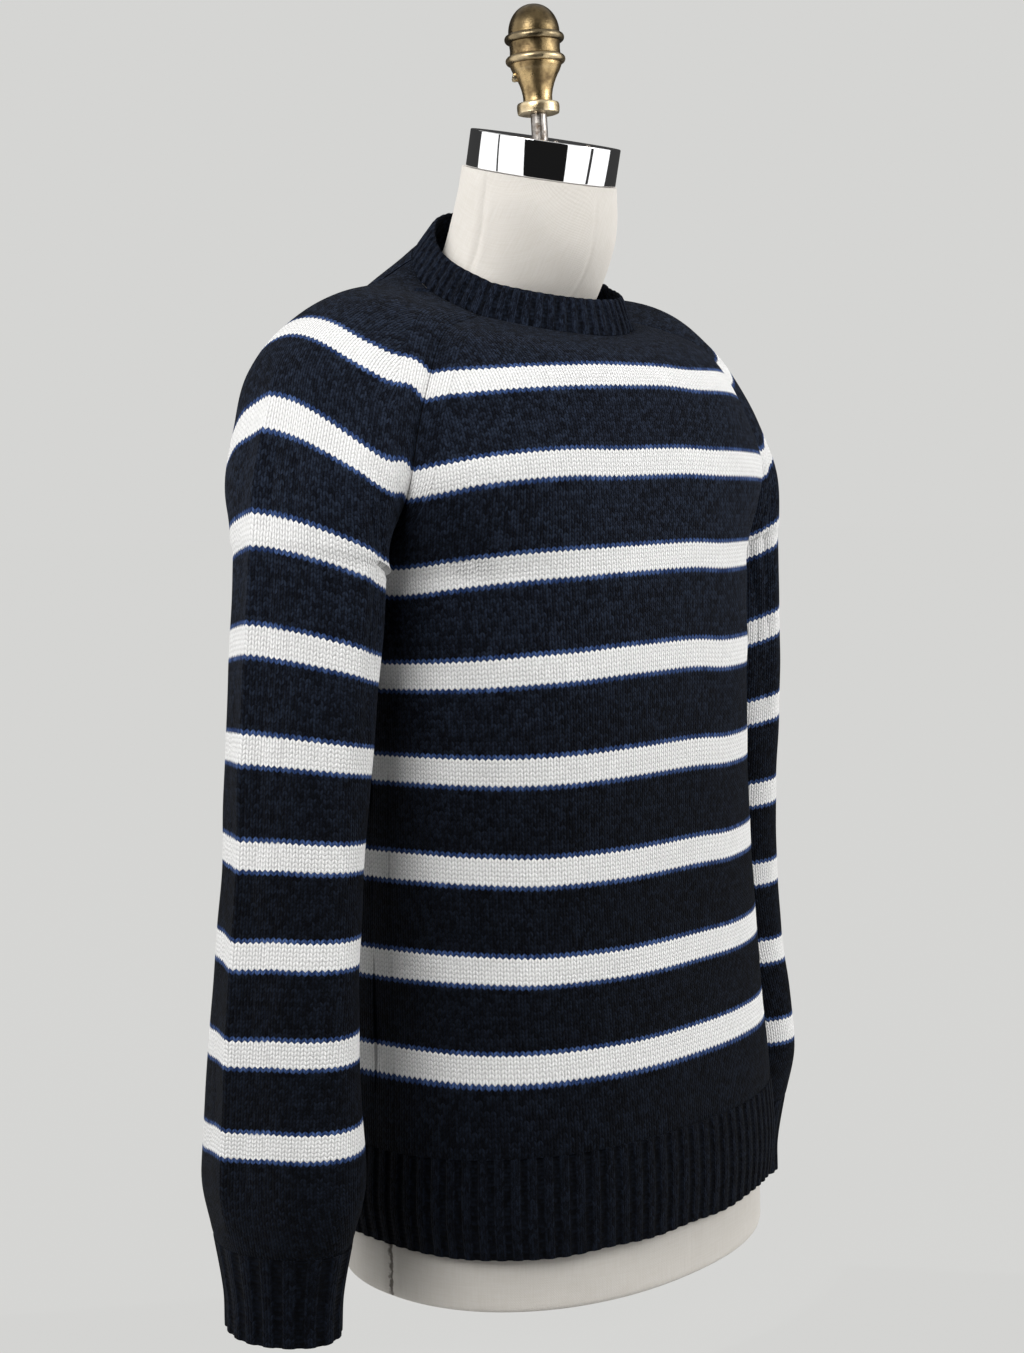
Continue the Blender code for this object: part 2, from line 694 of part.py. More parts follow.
def build_rod(name, parent, steel):
    """Steel rod from its socket in the cap up to the finial."""
    top = ROD_LENGTH - SEAM_GAP
    profile = [(0, top), (ROD_RADIUS, top), (ROD_RADIUS, 0), (0, 0)]
    part = turned_part(name, profile, 24, parent, steel)
    part.location = FINIAL_FOOT - rod_axis() * ROD_LENGTH
    part.rotation_euler = (FINIAL_LEAN, 0, 0)
    return part


def finial_profile():
    """Turned outline: dome, two rings with a waist between, a taper, and a foot flange."""
    dome_radius, dome_top, dome_bottom = 0.0182, 0.0765, 0.0560
    profile = []
    for k in range(7):
        angle = math.pi / 2 * (1 - k / 6)
        height = dome_bottom + (dome_top - dome_bottom) * math.sin(angle)
        profile.append((dome_radius * math.cos(angle) if k else 0, height))
    for centre in (0.0525, 0.0375):
        for k in range(5):
            angle = math.pi * (0.5 - k / 4)
            profile.append((0.0182 + 0.0030 * math.cos(angle), centre + 0.0030 * math.sin(angle)))
    for radius, height in ((0.0180, 0.0330), (0.0150, 0.0270), (0.0122, 0.0205), (0.0104, 0.0130),
                           (0.0104, 0.0085), (0.0128, 0.0078), (0.0150, 0.0066), (0.0150, 0.0012),
                           (0.0140, 0.0000)):
        profile.append((radius, height))
    profile.append((0, 0))
    return profile


def build_finial(name, parent, brass):
    part = turned_part(name, finial_profile(), 24, parent, brass)
    part.location = FINIAL_FOOT
    part.rotation_euler = (FINIAL_LEAN, 0, 0)
    return part


def clear_scene():
    for old in list(bpy.data.objects):
        bpy.data.objects.remove(old, do_unlink=True)


def empty(name):
    holder = bpy.data.objects.new(name, None)
    PARTS.objects.link(holder)
    return holder


clear_scene()
PARTS = bpy.data.collections.new("crewneck_sweater")
CUTTERS = bpy.data.collections.new("cutters")
for collection in (PARTS, CUTTERS):
    bpy.context.scene.collection.children.link(collection)

navy = material("navy_knit", (0.012, 0.015, 0.023), 0.9)
linen_cover = material("linen_cover", (0.62, 0.58, 0.52), 0.85)
chrome_plate = material("chrome", (0.72, 0.72, 0.73), 0.08, 1.0)
steel_rod = material("steel", (0.45, 0.44, 0.42), 0.3, 1.0)
old_brass = material("brass", (0.42, 0.32, 0.18), 0.35, 1.0)
base_wood = material("base_wood", (0.10, 0.07, 0.05), 0.6)

sweater = empty("sweater")
dress_form = empty("dress_form")

build_panel("front", -1, sweater, navy)
build_panel("back", 1, sweater, navy)
build_sleeve("sleeve_right", -1, sweater, navy)
build_sleeve("sleeve_left", 1, sweater, navy)
build_neckband("neckband", sweater, navy)
build_hem_rib("front_hem_rib", -1, sweater, navy)
build_hem_rib("back_hem_rib", 1, sweater, navy)
build_cuff("cuff_right", -1, sweater, navy)
build_cuff("cuff_left", 1, sweater, navy)

build_form_torso("form_torso", dress_form, linen_cover)
build_base("form_base", dress_form, base_wood)
build_neck_cap("neck_cap", dress_form, chrome_plate)
build_rod("finial_rod", dress_form, steel_rod)
build_finial("finial", dress_form, old_brass)
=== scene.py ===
"""Crewneck sweater with raglan sleeves on a limbless dress form: cloth, materials, camera, light.

The cloth follows the surfaces of the solids in the frame, on finer grids, with its knitted
stitches, stripes, ribs, seams and folds. Units are metres; the front faces -Y.
"""

import math

import bpy
import numpy as np
from mathutils import Matrix, Vector


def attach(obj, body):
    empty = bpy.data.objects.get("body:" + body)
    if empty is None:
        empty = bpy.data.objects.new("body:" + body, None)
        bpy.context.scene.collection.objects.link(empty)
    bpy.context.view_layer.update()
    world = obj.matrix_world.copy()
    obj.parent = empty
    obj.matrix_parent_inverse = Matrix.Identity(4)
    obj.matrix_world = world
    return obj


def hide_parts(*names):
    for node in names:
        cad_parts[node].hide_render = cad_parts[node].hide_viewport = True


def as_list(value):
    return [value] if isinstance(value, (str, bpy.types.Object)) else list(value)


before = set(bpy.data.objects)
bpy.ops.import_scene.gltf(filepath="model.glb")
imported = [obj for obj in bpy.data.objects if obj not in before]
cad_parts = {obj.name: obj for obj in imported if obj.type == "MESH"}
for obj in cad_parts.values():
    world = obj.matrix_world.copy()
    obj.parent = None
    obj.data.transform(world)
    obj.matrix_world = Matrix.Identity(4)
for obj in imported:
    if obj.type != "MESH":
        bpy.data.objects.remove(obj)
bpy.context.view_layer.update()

# Cloth
WALL = 0.0026
HALF_GAP = 0.0001          # half the gap at a seam
NECK_GAP = 0.0003
TUCK_WIDTH = 0.003
SEAM_TUCK = 0.0004         # how far the cloth turns in beside a seam
RIB_TUCK = 0.0008          # and where it joins a rib
EDGE_BLEND = 0.004         # how far from a seam both pieces share one outward direction
HEM_HEIGHT = 0.065
RIB_TOP_HEIGHT = 0.1305
UNDERARM_HEIGHT = 0.5200
CUFF_HEIGHT = 0.029
CUFF_TOP_HEIGHT = 0.090
COURSE_DIP = -0.030
BODY_SQUARENESS = 2.3
SLEEVE_CREASE = 0.14
RIB_DEPTH = 0.0013
HEM_RIBS = 46
CUFF_RIBS = 18
NECK_RIBS = 56
RIB_COLUMNS = 8            # columns of the grid in one rib
RIB_ROWS = 25
GRID_COLUMNS = 190
NECKBAND_HEIGHT = 0.0255
NECK_AXIS_Y = 0.013
NECK_TILT = math.radians(14)
NECK_SEAM_LEAN_FRONT = math.radians(53)
NECK_SEAM_LEAN_BACK = math.radians(25)
NECKBAND_LEAN = math.radians(28)

# Knitting: width of a wale, height of a course, and courses in each part
WALE = 0.0042
COURSE = 0.00307
BODY_COURSES = 127
SLEEVE_COURSES = 143
YOKE_COURSES = 47          # from the underarm to the striped level of the yoke
STRIPED_LEVEL = 0.67
CORNER_RISE = 0.03         # added to a panel's length for its corners beside the neck
FRONT_BAND = 0.017         # from the raglan seam to the front's line of decreases
SLEEVE_BAND = 0.023        # and to the sleeve's

# Dress form
WARP_STEP = 0.0011
WEFT_STEP = 0.0012
FORM_BOTTOM = 0.023
FORM_SQUARENESS = 2.2
CAP_RADIUS = 0.0535
CAP_THICKNESS = 0.026
CAP_CENTRE = Vector((0.0, -0.010, 0.8095))
CAP_TILT = math.radians(13)
FINIAL_FOOT = Vector((0.0, -0.0065, 0.8400))
FINIAL_LEAN = math.radians(-3)

# The photograph's viewpoint, found from its outline
CAMERA_TURN = math.radians(-47)
CAMERA_PITCH = math.radians(5.9)
CAMERA_ROLL = math.radians(-1.3)
CAMERA_DISTANCE = 1.62
CAMERA_HEIGHT = 0.608
PHOTO_WIDTH = 1024
CENTRE_PIXEL = 544
FOCAL_PIXELS = 2240
TOWARDS_CAMERA = math.atan2(-math.cos(CAMERA_TURN), math.sin(CAMERA_TURN))


class Profile:
    """A table of sizes, read smoothly between its rows, for whole arrays at once."""

    def __init__(self, columns, rows):
        self.keys = np.array([row[0] for row in rows], float)
        self.values = {name: np.array([row[i] for row in rows], float)
                       for i, name in enumerate(columns)}

    def read(self, name, at):
        keys = self.keys
        values = self.values[name]
        last = len(keys) - 1
        at = np.clip(np.asarray(at, float), keys[0], keys[-1])
        i = np.clip(np.searchsorted(keys, at, side="left") - 1, 0, last - 1)
        ends = np.arange(last + 1)
        before, after = np.maximum(ends - 1, 0), np.minimum(ends + 1, last)
        slopes = (values[after] - values[before]) / (keys[after] - keys[before])
        span = keys[i + 1] - keys[i]
        s = (at - keys[i]) / span
        start = values[i] * (1 + 2 * s) + span * slopes[i] * s
        end = values[i + 1] * (3 - 2 * s) - span * slopes[i + 1] * (1 - s)
        return (1 - s) ** 2 * start + s ** 2 * end


TORSO = Profile(
    ("height", "half_width", "front_depth", "back_depth", "centre_y"), [
        (0.0650, 0.176, 0.140, 0.136, 0.000),
        (0.0930, 0.179, 0.143, 0.140, 0.001),
        (0.1305, 0.176, 0.142, 0.139, 0.002),
        (0.2230, 0.171, 0.137, 0.135, 0.006),
        (0.3230, 0.167, 0.134, 0.132, 0.008),
        (0.4230, 0.166, 0.135, 0.133, 0.009),
        (0.5200, 0.168, 0.1375, 0.1345, 0.0135),
    ])

YOKE = Profile(
    ("level", "seam_x", "seam_z", "ridge_x", "ridge_y", "ridge_z", "bow", "wrap",
     "back_rise", "back_in", "front_y", "front_z", "back_y", "back_z", "front_spread",
     "back_spread"), [
        (0.00, 0.1680, 0.5196, 0.2550, 0.0135, 0.55144, 0.0600, 180,
         0.000, 0.000, -0.124, 0.5237, 0.148, 0.5156, 90, 90),
        (0.17, 0.1745, 0.5520, 0.2435, 0.0197, 0.59600, 0.0709, 138,
         0.002, 0.000, -0.122, 0.5600, 0.147, 0.5540, 87, 86),
        (0.33, 0.1764, 0.5860, 0.2284, 0.0247, 0.63560, 0.0771, 104,
         0.004, 0.001, -0.119, 0.5960, 0.143, 0.5950, 84, 80),
        (0.50, 0.1653, 0.6210, 0.2136, 0.0308, 0.66770, 0.0785, 88,
         0.008, 0.003, -0.114, 0.6280, 0.137, 0.6370, 82, 76),
        (0.67, 0.1471, 0.6550, 0.1908, 0.0320, 0.69230, 0.0757, 74,
         0.014, 0.008, -0.106, 0.6580, 0.127, 0.6800, 82, 72),
        (0.84, 0.1202, 0.6850, 0.1416, 0.0293, 0.71480, 0.0644, 66,
         0.022, 0.014, -0.088, 0.6740, 0.110, 0.7240, 84, 62),
        (1.00, 0.0745, 0.6975, 0.0782, 0.0240, 0.71450, 0.0440, 62,
         0.044, 0.0130, -0.066, 0.6830, 0.090, 0.7600, 71, 52),
    ])

SLEEVE = Profile(
    ("height", "centre_x", "centre_y", "half_out", "half_fore", "tilt"), [
        (0.0290, 0.250, 0.007, 0.0340, 0.0470, 0.000),
        (0.0530, 0.249, 0.007, 0.0350, 0.0480, 0.000),
        (0.0900, 0.248, 0.007, 0.0400, 0.0560, 0.000),
        (0.1330, 0.247, 0.007, 0.0450, 0.0670, 0.000),
        (0.2230, 0.241, 0.008, 0.0420, 0.0600, 0.030),
        (0.3230, 0.232, 0.010, 0.0410, 0.0560, 0.080),
        (0.4230, 0.223, 0.013, 0.0430, 0.0580, 0.200),
        (0.53552, 0.2115, 0.0135, 0.0435, 0.0600, 0.366),
    ])

SLEEVE_SWAY = {
    -1: (0.011, 0.000, 0.000),
    1: (-0.009, 0.020, 0.018),
}

FORM = Profile(
    ("height", "half_width", "front_depth", "back_depth", "centre_y", "lean"), [
        (0.0230, 0.1680, 0.1330, 0.1300, 0.0000, 0),
        (0.0650, 0.1680, 0.1330, 0.1290, 0.0000, 0),
        (0.1800, 0.1620, 0.1280, 0.1250, 0.0030, 0),
        (0.2800, 0.1550, 0.1210, 0.1190, 0.0060, 0),
        (0.3800, 0.1540, 0.1200, 0.1200, 0.0080, 0),
        (0.4800, 0.1570, 0.1240, 0.1270, 0.0090, 0),
        (0.5500, 0.1590, 0.1220, 0.1280, 0.0100, 0),
        (0.6000, 0.1600, 0.1120, 0.1210, 0.0140, 0),
        (0.6400, 0.1620, 0.0950, 0.1080, 0.0190, 0),
        (0.6650, 0.1620, 0.0760, 0.0900, 0.0240, 2),
        (0.6850, 0.1590, 0.0610, 0.0760, 0.0260, 5),
        (0.6940, 0.1520, 0.0520, 0.0680, 0.0265, 8),
        (0.7018, 0.1400, 0.0460, 0.0640, 0.0265, 11),
        (0.7054, 0.1150, 0.0430, 0.0620, 0.0255, 14),
        (0.7081, 0.0900, 0.0415, 0.0620, 0.0240, 16),
        (0.7111, 0.0735, 0.0420, 0.0630, 0.0215, 17),
        (0.7150, 0.0660, 0.0440, 0.0640, 0.0175, 18),
        (0.7230, 0.0630, 0.0465, 0.0655, 0.0120, 18),
        (0.7320, 0.0595, 0.0495, 0.0670, 0.0065, 17),
        (0.7450, 0.0580, 0.0525, 0.0670, 0.0010, 15),
        (0.7600, 0.0575, 0.0545, 0.0645, -0.0030, 14),
        (0.7775, 0.0570, 0.0550, 0.0610, -0.0055, 13),
        (0.7965, 0.0550, 0.0545, 0.0570, -0.0070, 13),
    ])


# Surfaces, the same as the solids' own

def blend(a, b, t):
    return a + (b - a) * t


def power(value, exponent):
    return np.sign(value) * np.abs(value) ** exponent


def stack(x, y, z):
    return np.stack(np.broadcast_arrays(x, y, z), axis=-1)


def unit(vectors):
    return vectors / np.maximum(np.linalg.norm(vectors, axis=-1, keepdims=True), 1e-12)


def torso_point(facing, across, height):
    depth = TORSO.read("front_depth" if facing < 0 else "back_depth", height)
    angle = across * math.pi / 2
    exponent = 2 / BODY_SQUARENESS
    x = TORSO.read("half_width", height) * power(np.sin(angle), exponent)
    y = TORSO.read("centre_y", height) + facing * depth * power(np.cos(angle), exponent)
    dip = np.clip((height - HEM_HEIGHT) / 0.05, 0, 1)
    return stack(x, y, height + COURSE_DIP * y * dip)


def raglan_point(side, facing, level):
    turn = np.radians(YOKE.read("wrap", level))
    y = YOKE.read("ridge_y", level) + facing * YOKE.read("bow", level) * np.sin(turn)
    behind = np.asarray(facing) > 0
    x = YOKE.read("seam_x", level) - behind * YOKE.read("back_in", level)
    z = YOKE.read("seam_z", level) + behind * YOKE.read("back_rise", level)
    return stack(side * x, y, z)


def yoke_point(facing, across, level):
    seam = raglan_point(1, facing, level)
    name = "front" if facing < 0 else "back"
    middle_y = YOKE.read(name + "_y", level)
    middle_z = YOKE.read(name + "_z", level)
    spread = np.radians(YOKE.read(name + "_spread", level))
    exponent = 2 / blend(BODY_SQUARENESS, 2, level)
    angle = across * spread
    x = seam[..., 0] * power(np.sin(angle) / np.sin(spread), exponent)
    edge = np.maximum(np.cos(spread), 0) ** exponent
    bend = (1 - np.maximum(np.cos(angle), 0) ** exponent) / (1 - edge)
    return stack(x, blend(middle_y, seam[..., 1], bend), blend(middle_z, seam[..., 2], bend))


def body_point(facing, across, up):
    """up is 0 at the rib, 1 at the underarm and 2 at the neckline."""
    low = torso_point(facing, across, blend(RIB_TOP_HEIGHT, UNDERARM_HEIGHT, np.minimum(up, 1)))
    high = yoke_point(facing, across, np.maximum(up - 1, 0))
    return np.where((up <= 1)[..., None], low, high)


def crease_power(level):
    return 1 + SLEEVE_CREASE * np.clip(1 - level / 0.5, 0, 1)


def cap_point(side, around, level):
    facing = np.where(around < 0, -1, 1)
    wrap = np.radians(YOKE.read("wrap", level))
    turn = wrap * np.abs(around)
    bend = (1 - np.cos(turn)) / (1 - np.cos(wrap))
    bow = power(np.sin(turn), crease_power(level)) * YOKE.read("bow", level)
    edge = np.maximum(np.sin(wrap), 0.0501)
    near_seam = np.where(np.sin(wrap) > 0.05, edge ** (1 - crease_power(level)), 1)
    bow = bow * blend(1, near_seam, np.abs(around) ** 4)
    y = YOKE.read("ridge_y", level) + facing * bow
    front, back = raglan_point(side, -1, level), raglan_point(side, 1, level)
    middle = (front + back) / 2
    lift_x = side * YOKE.read("ridge_x", level) - middle[..., 0]
    lift_z = YOKE.read("ridge_z", level) - middle[..., 2]
    along = front + (back - front) * ((1 + around) / 2)[..., None]
    return stack(along[..., 0] + lift_x * (1 - bend), y, along[..., 2] + lift_z * (1 - bend))


def tube_point(side, around, height):
    out, back, down = SLEEVE_SWAY[side]
    stray = smooth_step(UNDERARM_HEIGHT, 0.2, height)
    drop = down * np.clip((UNDERARM_HEIGHT - height) / (UNDERARM_HEIGHT - CUFF_HEIGHT), 0, 1)
    angle = around * math.pi
    exponent = np.where(np.abs(around) < 0.5, crease_power(0), 1)
    dx = SLEEVE.read("half_out", height) * power(np.cos(angle), exponent)
    dy = SLEEVE.read("half_fore", height) * power(np.sin(angle), exponent)
    x = SLEEVE.read("centre_x", height) + out * stray + dx
    y = SLEEVE.read("centre_y", height) + back * stray + dy
    return stack(side * x, y, height - drop + SLEEVE.read("tilt", height) * dx)


def sleeve_point(side, around, down):
    """down is 0 at the neckline, 1 at the underarm and 2 at the cuff."""
    high = cap_point(side, around, np.clip(1 - down, 0, 1))
    low = tube_point(side, around, blend(SLEEVE.keys[-1], CUFF_TOP_HEIGHT, np.maximum(down - 1, 0)))
    return np.where((down <= 1)[..., None], high, low)


def even_columns(surface, rows, count, first=-1.0, last=1.0, fine=720):
    """For each row, the column values that cut it into equal lengths."""
    samples = np.linspace(first, last, fine + 1)
    runs = run_along(surface(*np.broadcast_arrays(samples, rows[:, None])), 1)
    share = np.linspace(0, 1, count + 1)
    return np.stack([np.interp(share * run[-1], run, samples) for run in runs])


def run_along(points, axis):
    """Distance along the rows or columns of a grid of points, from its first one."""
    steps = np.linalg.norm(np.diff(points, axis=axis), axis=-1)
    start = np.zeros_like(np.take(steps, [0], axis=axis))
    return np.concatenate([start, np.cumsum(steps, axis=axis)], axis=axis)


def grid_normals(points):
    return unit(np.cross(np.gradient(points, axis=1), np.gradient(points, axis=0)))


def ring_normals(points):
    around = np.roll(points, -1, axis=1) - np.roll(points, 1, axis=1)
    return unit(np.cross(around, np.gradient(points, axis=0)))


def ring_lengths(points):
    return np.linalg.norm(np.roll(points, -1, axis=1) - points, axis=-1).sum(axis=1)


def raglan_outward(side, facing, level):
    """Outward direction at a raglan seam, shared by the two pieces that meet there."""
    low, high = np.clip(level - 0.01, 0, 1), np.clip(level + 0.01, 0, 1)
    along = unit(raglan_point(side, facing, high) - raglan_point(side, facing, low))
    near = 0.06
    sleeve = cap_point(side, facing * (1 - near) + 0 * level, level)
    panel = yoke_point(facing, side * (1 - near) + 0 * level, level)
    sideways = stack(side + 0 * level, 0 * level, 0 * level)
    across = blend(sideways, unit(sleeve - panel), np.clip(level / 0.3, 0, 1)[:, None])
    across = unit(across - along * np.sum(across * along, axis=-1, keepdims=True))
    return unit(np.cross(along, across)) * (facing * side)


def neck_axes(points):
    axis = np.array([0, -math.sin(NECK_TILT), math.cos(NECK_TILT)])
    away = stack(points[..., 0], points[..., 1] - NECK_AXIS_Y, 0 * points[..., 0])
    return axis, unit(away - axis * (away @ axis)[..., None])


def leaning(axis, away, lean):
    """Outward and climbing direction of a surface that leans in by this angle."""
    return away * np.cos(lean) + axis * np.sin(lean), axis * np.cos(lean) - away * np.sin(lean)


def neck_frame(points):
    """Outward direction and direction towards the neckband at points of the neckline."""
    axis, away = neck_axes(points)
    front, back = YOKE.read("front_y", 1), YOKE.read("back_y", 1)
    share = np.clip((points[..., 1] - front) / (back - front), 0, 1)
    lean = blend(NECK_SEAM_LEAN_FRONT, NECK_SEAM_LEAN_BACK, share)[..., None]
    return leaning(axis, away, lean)


def smooth_step(low, high, value):
    t = np.clip((value - low) / (high - low), 0, 1)
    return t * t * (3 - 2 * t)


def bell(distance, width):
    return np.exp(-(distance / width) ** 2)


def ripple(points, size, seed):
    """A gentle, repeatable unevenness from a few crossing waves, about -1 to 1."""
    total = 0
    for k in range(5):
        turn = seed * 1.7 + k * 2.4
        wave = np.array([math.cos(turn), math.sin(turn * 1.3), math.sin(turn * 0.7 + 1)])
        total = total + np.sin(points @ wave * (2 * math.pi / size) * (0.7 + 0.17 * k) + turn * 3)
    return total / 3.2


def crease(points, ends, width, height):
    """A soft ridge between two points (a trough where height is below 0), fading at its ends."""
    a, b = np.array(ends[0], float), np.array(ends[1], float)
    line = b - a
    t = (points - a) @ line / (line @ line)
    nearest = a + np.clip(t, 0, 1)[..., None] * line
    away = np.linalg.norm(points - nearest, axis=-1)
    fade = smooth_step(-0.15, 0.3, t) * smooth_step(1.15, 0.7, t)
    return height * fade * bell(away, width)


# Meshes

def add_mesh(name, points, faces, surface, attributes=None, sharp=50):
    mesh = bpy.data.meshes.new(name)
    mesh.from_pydata(points.reshape(-1, 3).tolist(), [], faces)
    mesh.polygons.foreach_set("use_smooth", np.ones(len(mesh.polygons), bool))
    for key, values in (attributes or {}).items():
        layer = mesh.attributes.new(key, "FLOAT", "POINT")
        layer.data.foreach_set("value", np.ascontiguousarray(values, dtype=np.float32).ravel())
    mesh.update()
    mesh.set_sharp_from_angle(angle=math.radians(sharp))
    piece = bpy.data.objects.new(name, mesh)
    bpy.context.scene.collection.objects.link(piece)
    mesh.materials.append(surface)
    return piece


def grid_quads(rows, columns, offset=0, flip=False, wrap=False):
    width = columns if wrap else columns + 1
    i, j = np.meshgrid(np.arange(rows), np.arange(columns), indexing="ij")
    right = (j + 1) % width if wrap else j + 1
    quads = np.stack([i * width + j, i * width + right, (i + 1) * width + right,
                      (i + 1) * width + j], axis=-1).reshape(-1, 4)
    if flip:
        quads = quads[:, ::-1]
    return quads + offset


def rim(edge, offset, flip):
    """Faces from an edge of the outer grid to the same edge of the inner one."""
    a, b = edge[:-1], edge[1:]
    quads = np.stack([b, a, a + offset, b + offset], axis=-1)
    return quads[:, ::-1] if flip else quads


def cloth_piece(name, outer, inner, attributes, surface, flip, wrap=False):
    """A closed wall of cloth between two grids of points."""
    rows, columns = outer.shape[0] - 1, outer.shape[1] - (0 if wrap else 1)
    count = outer.shape[0] * outer.shape[1]
    index = np.arange(count).reshape(outer.shape[:2])
    if wrap:
        index = np.append(index, index[:, :1], axis=1)
    edges = [index[0], index[-1, ::-1]]
    if not wrap:
        edges += [index[::-1, 0], index[:, -1]]
    faces = [grid_quads(rows, columns, 0, flip, wrap),
             grid_quads(rows, columns, count, not flip, wrap)]
    faces += [rim(edge, count, flip) for edge in edges]
    points = np.concatenate([outer.reshape(-1, 3), inner.reshape(-1, 3)])
    both = {key: np.concatenate([values.ravel(), values.ravel()])
            for key, values in attributes.items()}
    return add_mesh(name, points, np.concatenate(faces).tolist(), surface, both)


def flat_size(outer, width, length):
    """The cut of a knitted piece: its widest, its longest, and the area of its outer face."""
    a = outer[1:, 1:] - outer[:-1, :-1]
    b = outer[1:, :-1] - outer[:-1, 1:]
    area = float(np.sum(np.linalg.norm(np.cross(a, b), axis=-1)) / 2)
    return (round(width, 3), round(length, 3)), round(min(area, width * length), 4)


# Node graphs

class Value:
    """What a node puts out, written in sums like a number."""

    def __init__(self, graph, socket):
        self.graph = graph
        self.socket = socket

    def __add__(self, other):
        return self.graph.math("ADD", self, other)

    def __sub__(self, other):
        return self.graph.math("SUBTRACT", self, other)

    def __rsub__(self, other):
        return self.graph.math("SUBTRACT", other, self)

    def __mul__(self, other):
        return self.graph.math("MULTIPLY", self, other)

    def __truediv__(self, other):
        return self.graph.math("DIVIDE", self, other)

    def __gt__(self, other):
        return self.graph.math("GREATER_THAN", self, other)

    def __lt__(self, other):
        return self.graph.math("LESS_THAN", self, other)

    def __abs__(self):
        return self.graph.math("ABSOLUTE", self)

    __radd__ = __add__
    __rmul__ = __mul__


class Graph:
    """A material's nodes, made and joined in the order that they are read."""

    def __init__(self, name):
        self.material = bpy.data.materials.new(name)
        self.material.use_nodes = True
        self.tree = self.material.node_tree
        self.shader = self.tree.nodes["Principled BSDF"]

    def plug(self, socket, value):
        if isinstance(value, Value):
            self.tree.links.new(value.socket, socket)
        elif isinstance(value, tuple) and len(value) == 3 and socket.type == "RGBA":
            socket.default_value = (*value, 1)
        else:
            socket.default_value = value

    def made(self, kind, values=(), output=0, **settings):
        """A node with its settings and its inputs, by name or in order; gives one output."""
        node = self.tree.nodes.new(kind)
        for key, value in settings.items():
            setattr(node, key, value)
        for key, value in values.items() if isinstance(values, dict) else enumerate(values):
            self.plug(node.inputs[key], value)
        return Value(self, node.outputs[output])

    def math(self, operation, a, b=0.0):
        return self.made("ShaderNodeMath", (a, b), operation=operation)

    def attribute(self, name):
        return self.made("ShaderNodeAttribute", (), "Fac", attribute_name=name,
                         attribute_type="GEOMETRY")

    def mix(self, factor, a, b, blend_type="MIX"):
        return self.made("ShaderNodeMix", {"Factor": factor, 6: a, 7: b}, 2, data_type="RGBA",
                         blend_type=blend_type)

    def shaded(self, colour, shade):
        """The colour times a grey value."""
        return self.mix(1, colour, self.vector(shade, shade, shade), "MULTIPLY")

    def place(self, x=1.0, y=1.0, z=1.0):
        own = self.made("ShaderNodeTexCoord", (), "Object")
        return self.made("ShaderNodeMapping", {"Vector": own, "Scale": (x, y, z)})

    def height(self):
        return self.made("ShaderNodeSeparateXYZ", (self.place(),), "Z")

    def noise(self, where, scale, detail=2.0, roughness=0.5):
        return self.made("ShaderNodeTexNoise", {"Vector": where, "Scale": scale, "Detail": detail,
                                                "Roughness": roughness}, "Fac")

    def vector(self, x, y, z=0.0):
        return self.made("ShaderNodeCombineXYZ", (x, y, z))

    def random(self, where):
        return self.made("ShaderNodeTexWhiteNoise", (where,), noise_dimensions="3D")

    def range(self, value, low, high, to_low=0.0, to_high=1.0):
        return self.made("ShaderNodeMapRange", (value, low, high, to_low, to_high),
                         interpolation_type="SMOOTHSTEP")

    def hump(self, value, exponent=1.0):
        """0 at 0 and 1, and 1 halfway; rounder for a small exponent."""
        wave = self.math("MAXIMUM", self.math("SINE", value * math.pi), 0.0)
        return self.math("POWER", wave, exponent)

    def bump(self, height, distance, strength=1.0):
        return self.made("ShaderNodeBump", {"Strength": strength, "Distance": distance,
                                            "Height": height})

    def finish(self, **inputs):
        for key, value in inputs.items():
            self.plug(self.shader.inputs[key.replace("_", " ")], value)
        return self.material


NAVY_DARK = (0.0026, 0.0035, 0.0066)
NAVY_LIGHT = (0.0145, 0.0205, 0.0360)
WHITE_YARN = (0.89, 0.885, 0.875)
BLUE_DARK = (0.014, 0.031, 0.100)
BLUE_LIGHT = (0.068, 0.120, 0.285)
FIBRE_SCALE = 1500

# Stripes, in rows of knitting above the rib: how often, and where in each repeat
STRIPE_REPEAT = 22
WHITE_ROWS = (14, 20)
EDGE_ROWS = (13, 21)
STRIPED_ROWS = (-12, 180)


def navy_yarn(g, row, wale_half, along):
    """Marled navy yarn, with painted shade low down and a painted sheen high up; gives its colour,
    its flecks and each stitch's value.
    """
    place = g.place()
    fibres = g.noise(place, FIBRE_SCALE, 2, 0.6)
    clumps = g.noise(place, 420, 2, 0.6)
    stitch = g.random(g.vector(wale_half, row, 3.0))
    marl = g.noise(g.vector(along * 130.0, row * 1.37), 1.0)
    fleck = fibres * 0.36 + clumps * 0.22 + marl * 0.42 + (stitch - 0.5) * 0.16
    speck = g.range(fleck, 0.38, 0.66)
    navy = g.mix(speck, NAVY_DARK, NAVY_LIGHT)
    # painted shade low down and a painted sheen high up: the navy's colour is scaled by height
    return g.shaded(navy, g.range(g.height(), 0.28, 0.60, 0.52, 1.22)), speck, stitch


def between(value, ends):
    return (value > ends[0]) * (value < ends[1])


def striped_yarn(g, row, wale_half, along):
    """The navy yarn with its white stripes and their blue edge rows."""
    navy, speck, stitch = navy_yarn(g, row, wale_half, along)
    blue = g.mix(speck, BLUE_DARK, BLUE_LIGHT)
    white = g.shaded(WHITE_YARN, stitch * 0.07 + 0.93)
    phase = g.math("FLOORED_MODULO", row + 0.5, STRIPE_REPEAT)
    striped = between(row, STRIPED_ROWS)
    is_white = between(phase, WHITE_ROWS) * striped
    colour = g.mix(between(phase, EDGE_ROWS) * striped, navy, blue)
    return g.mix(is_white, colour, white), is_white


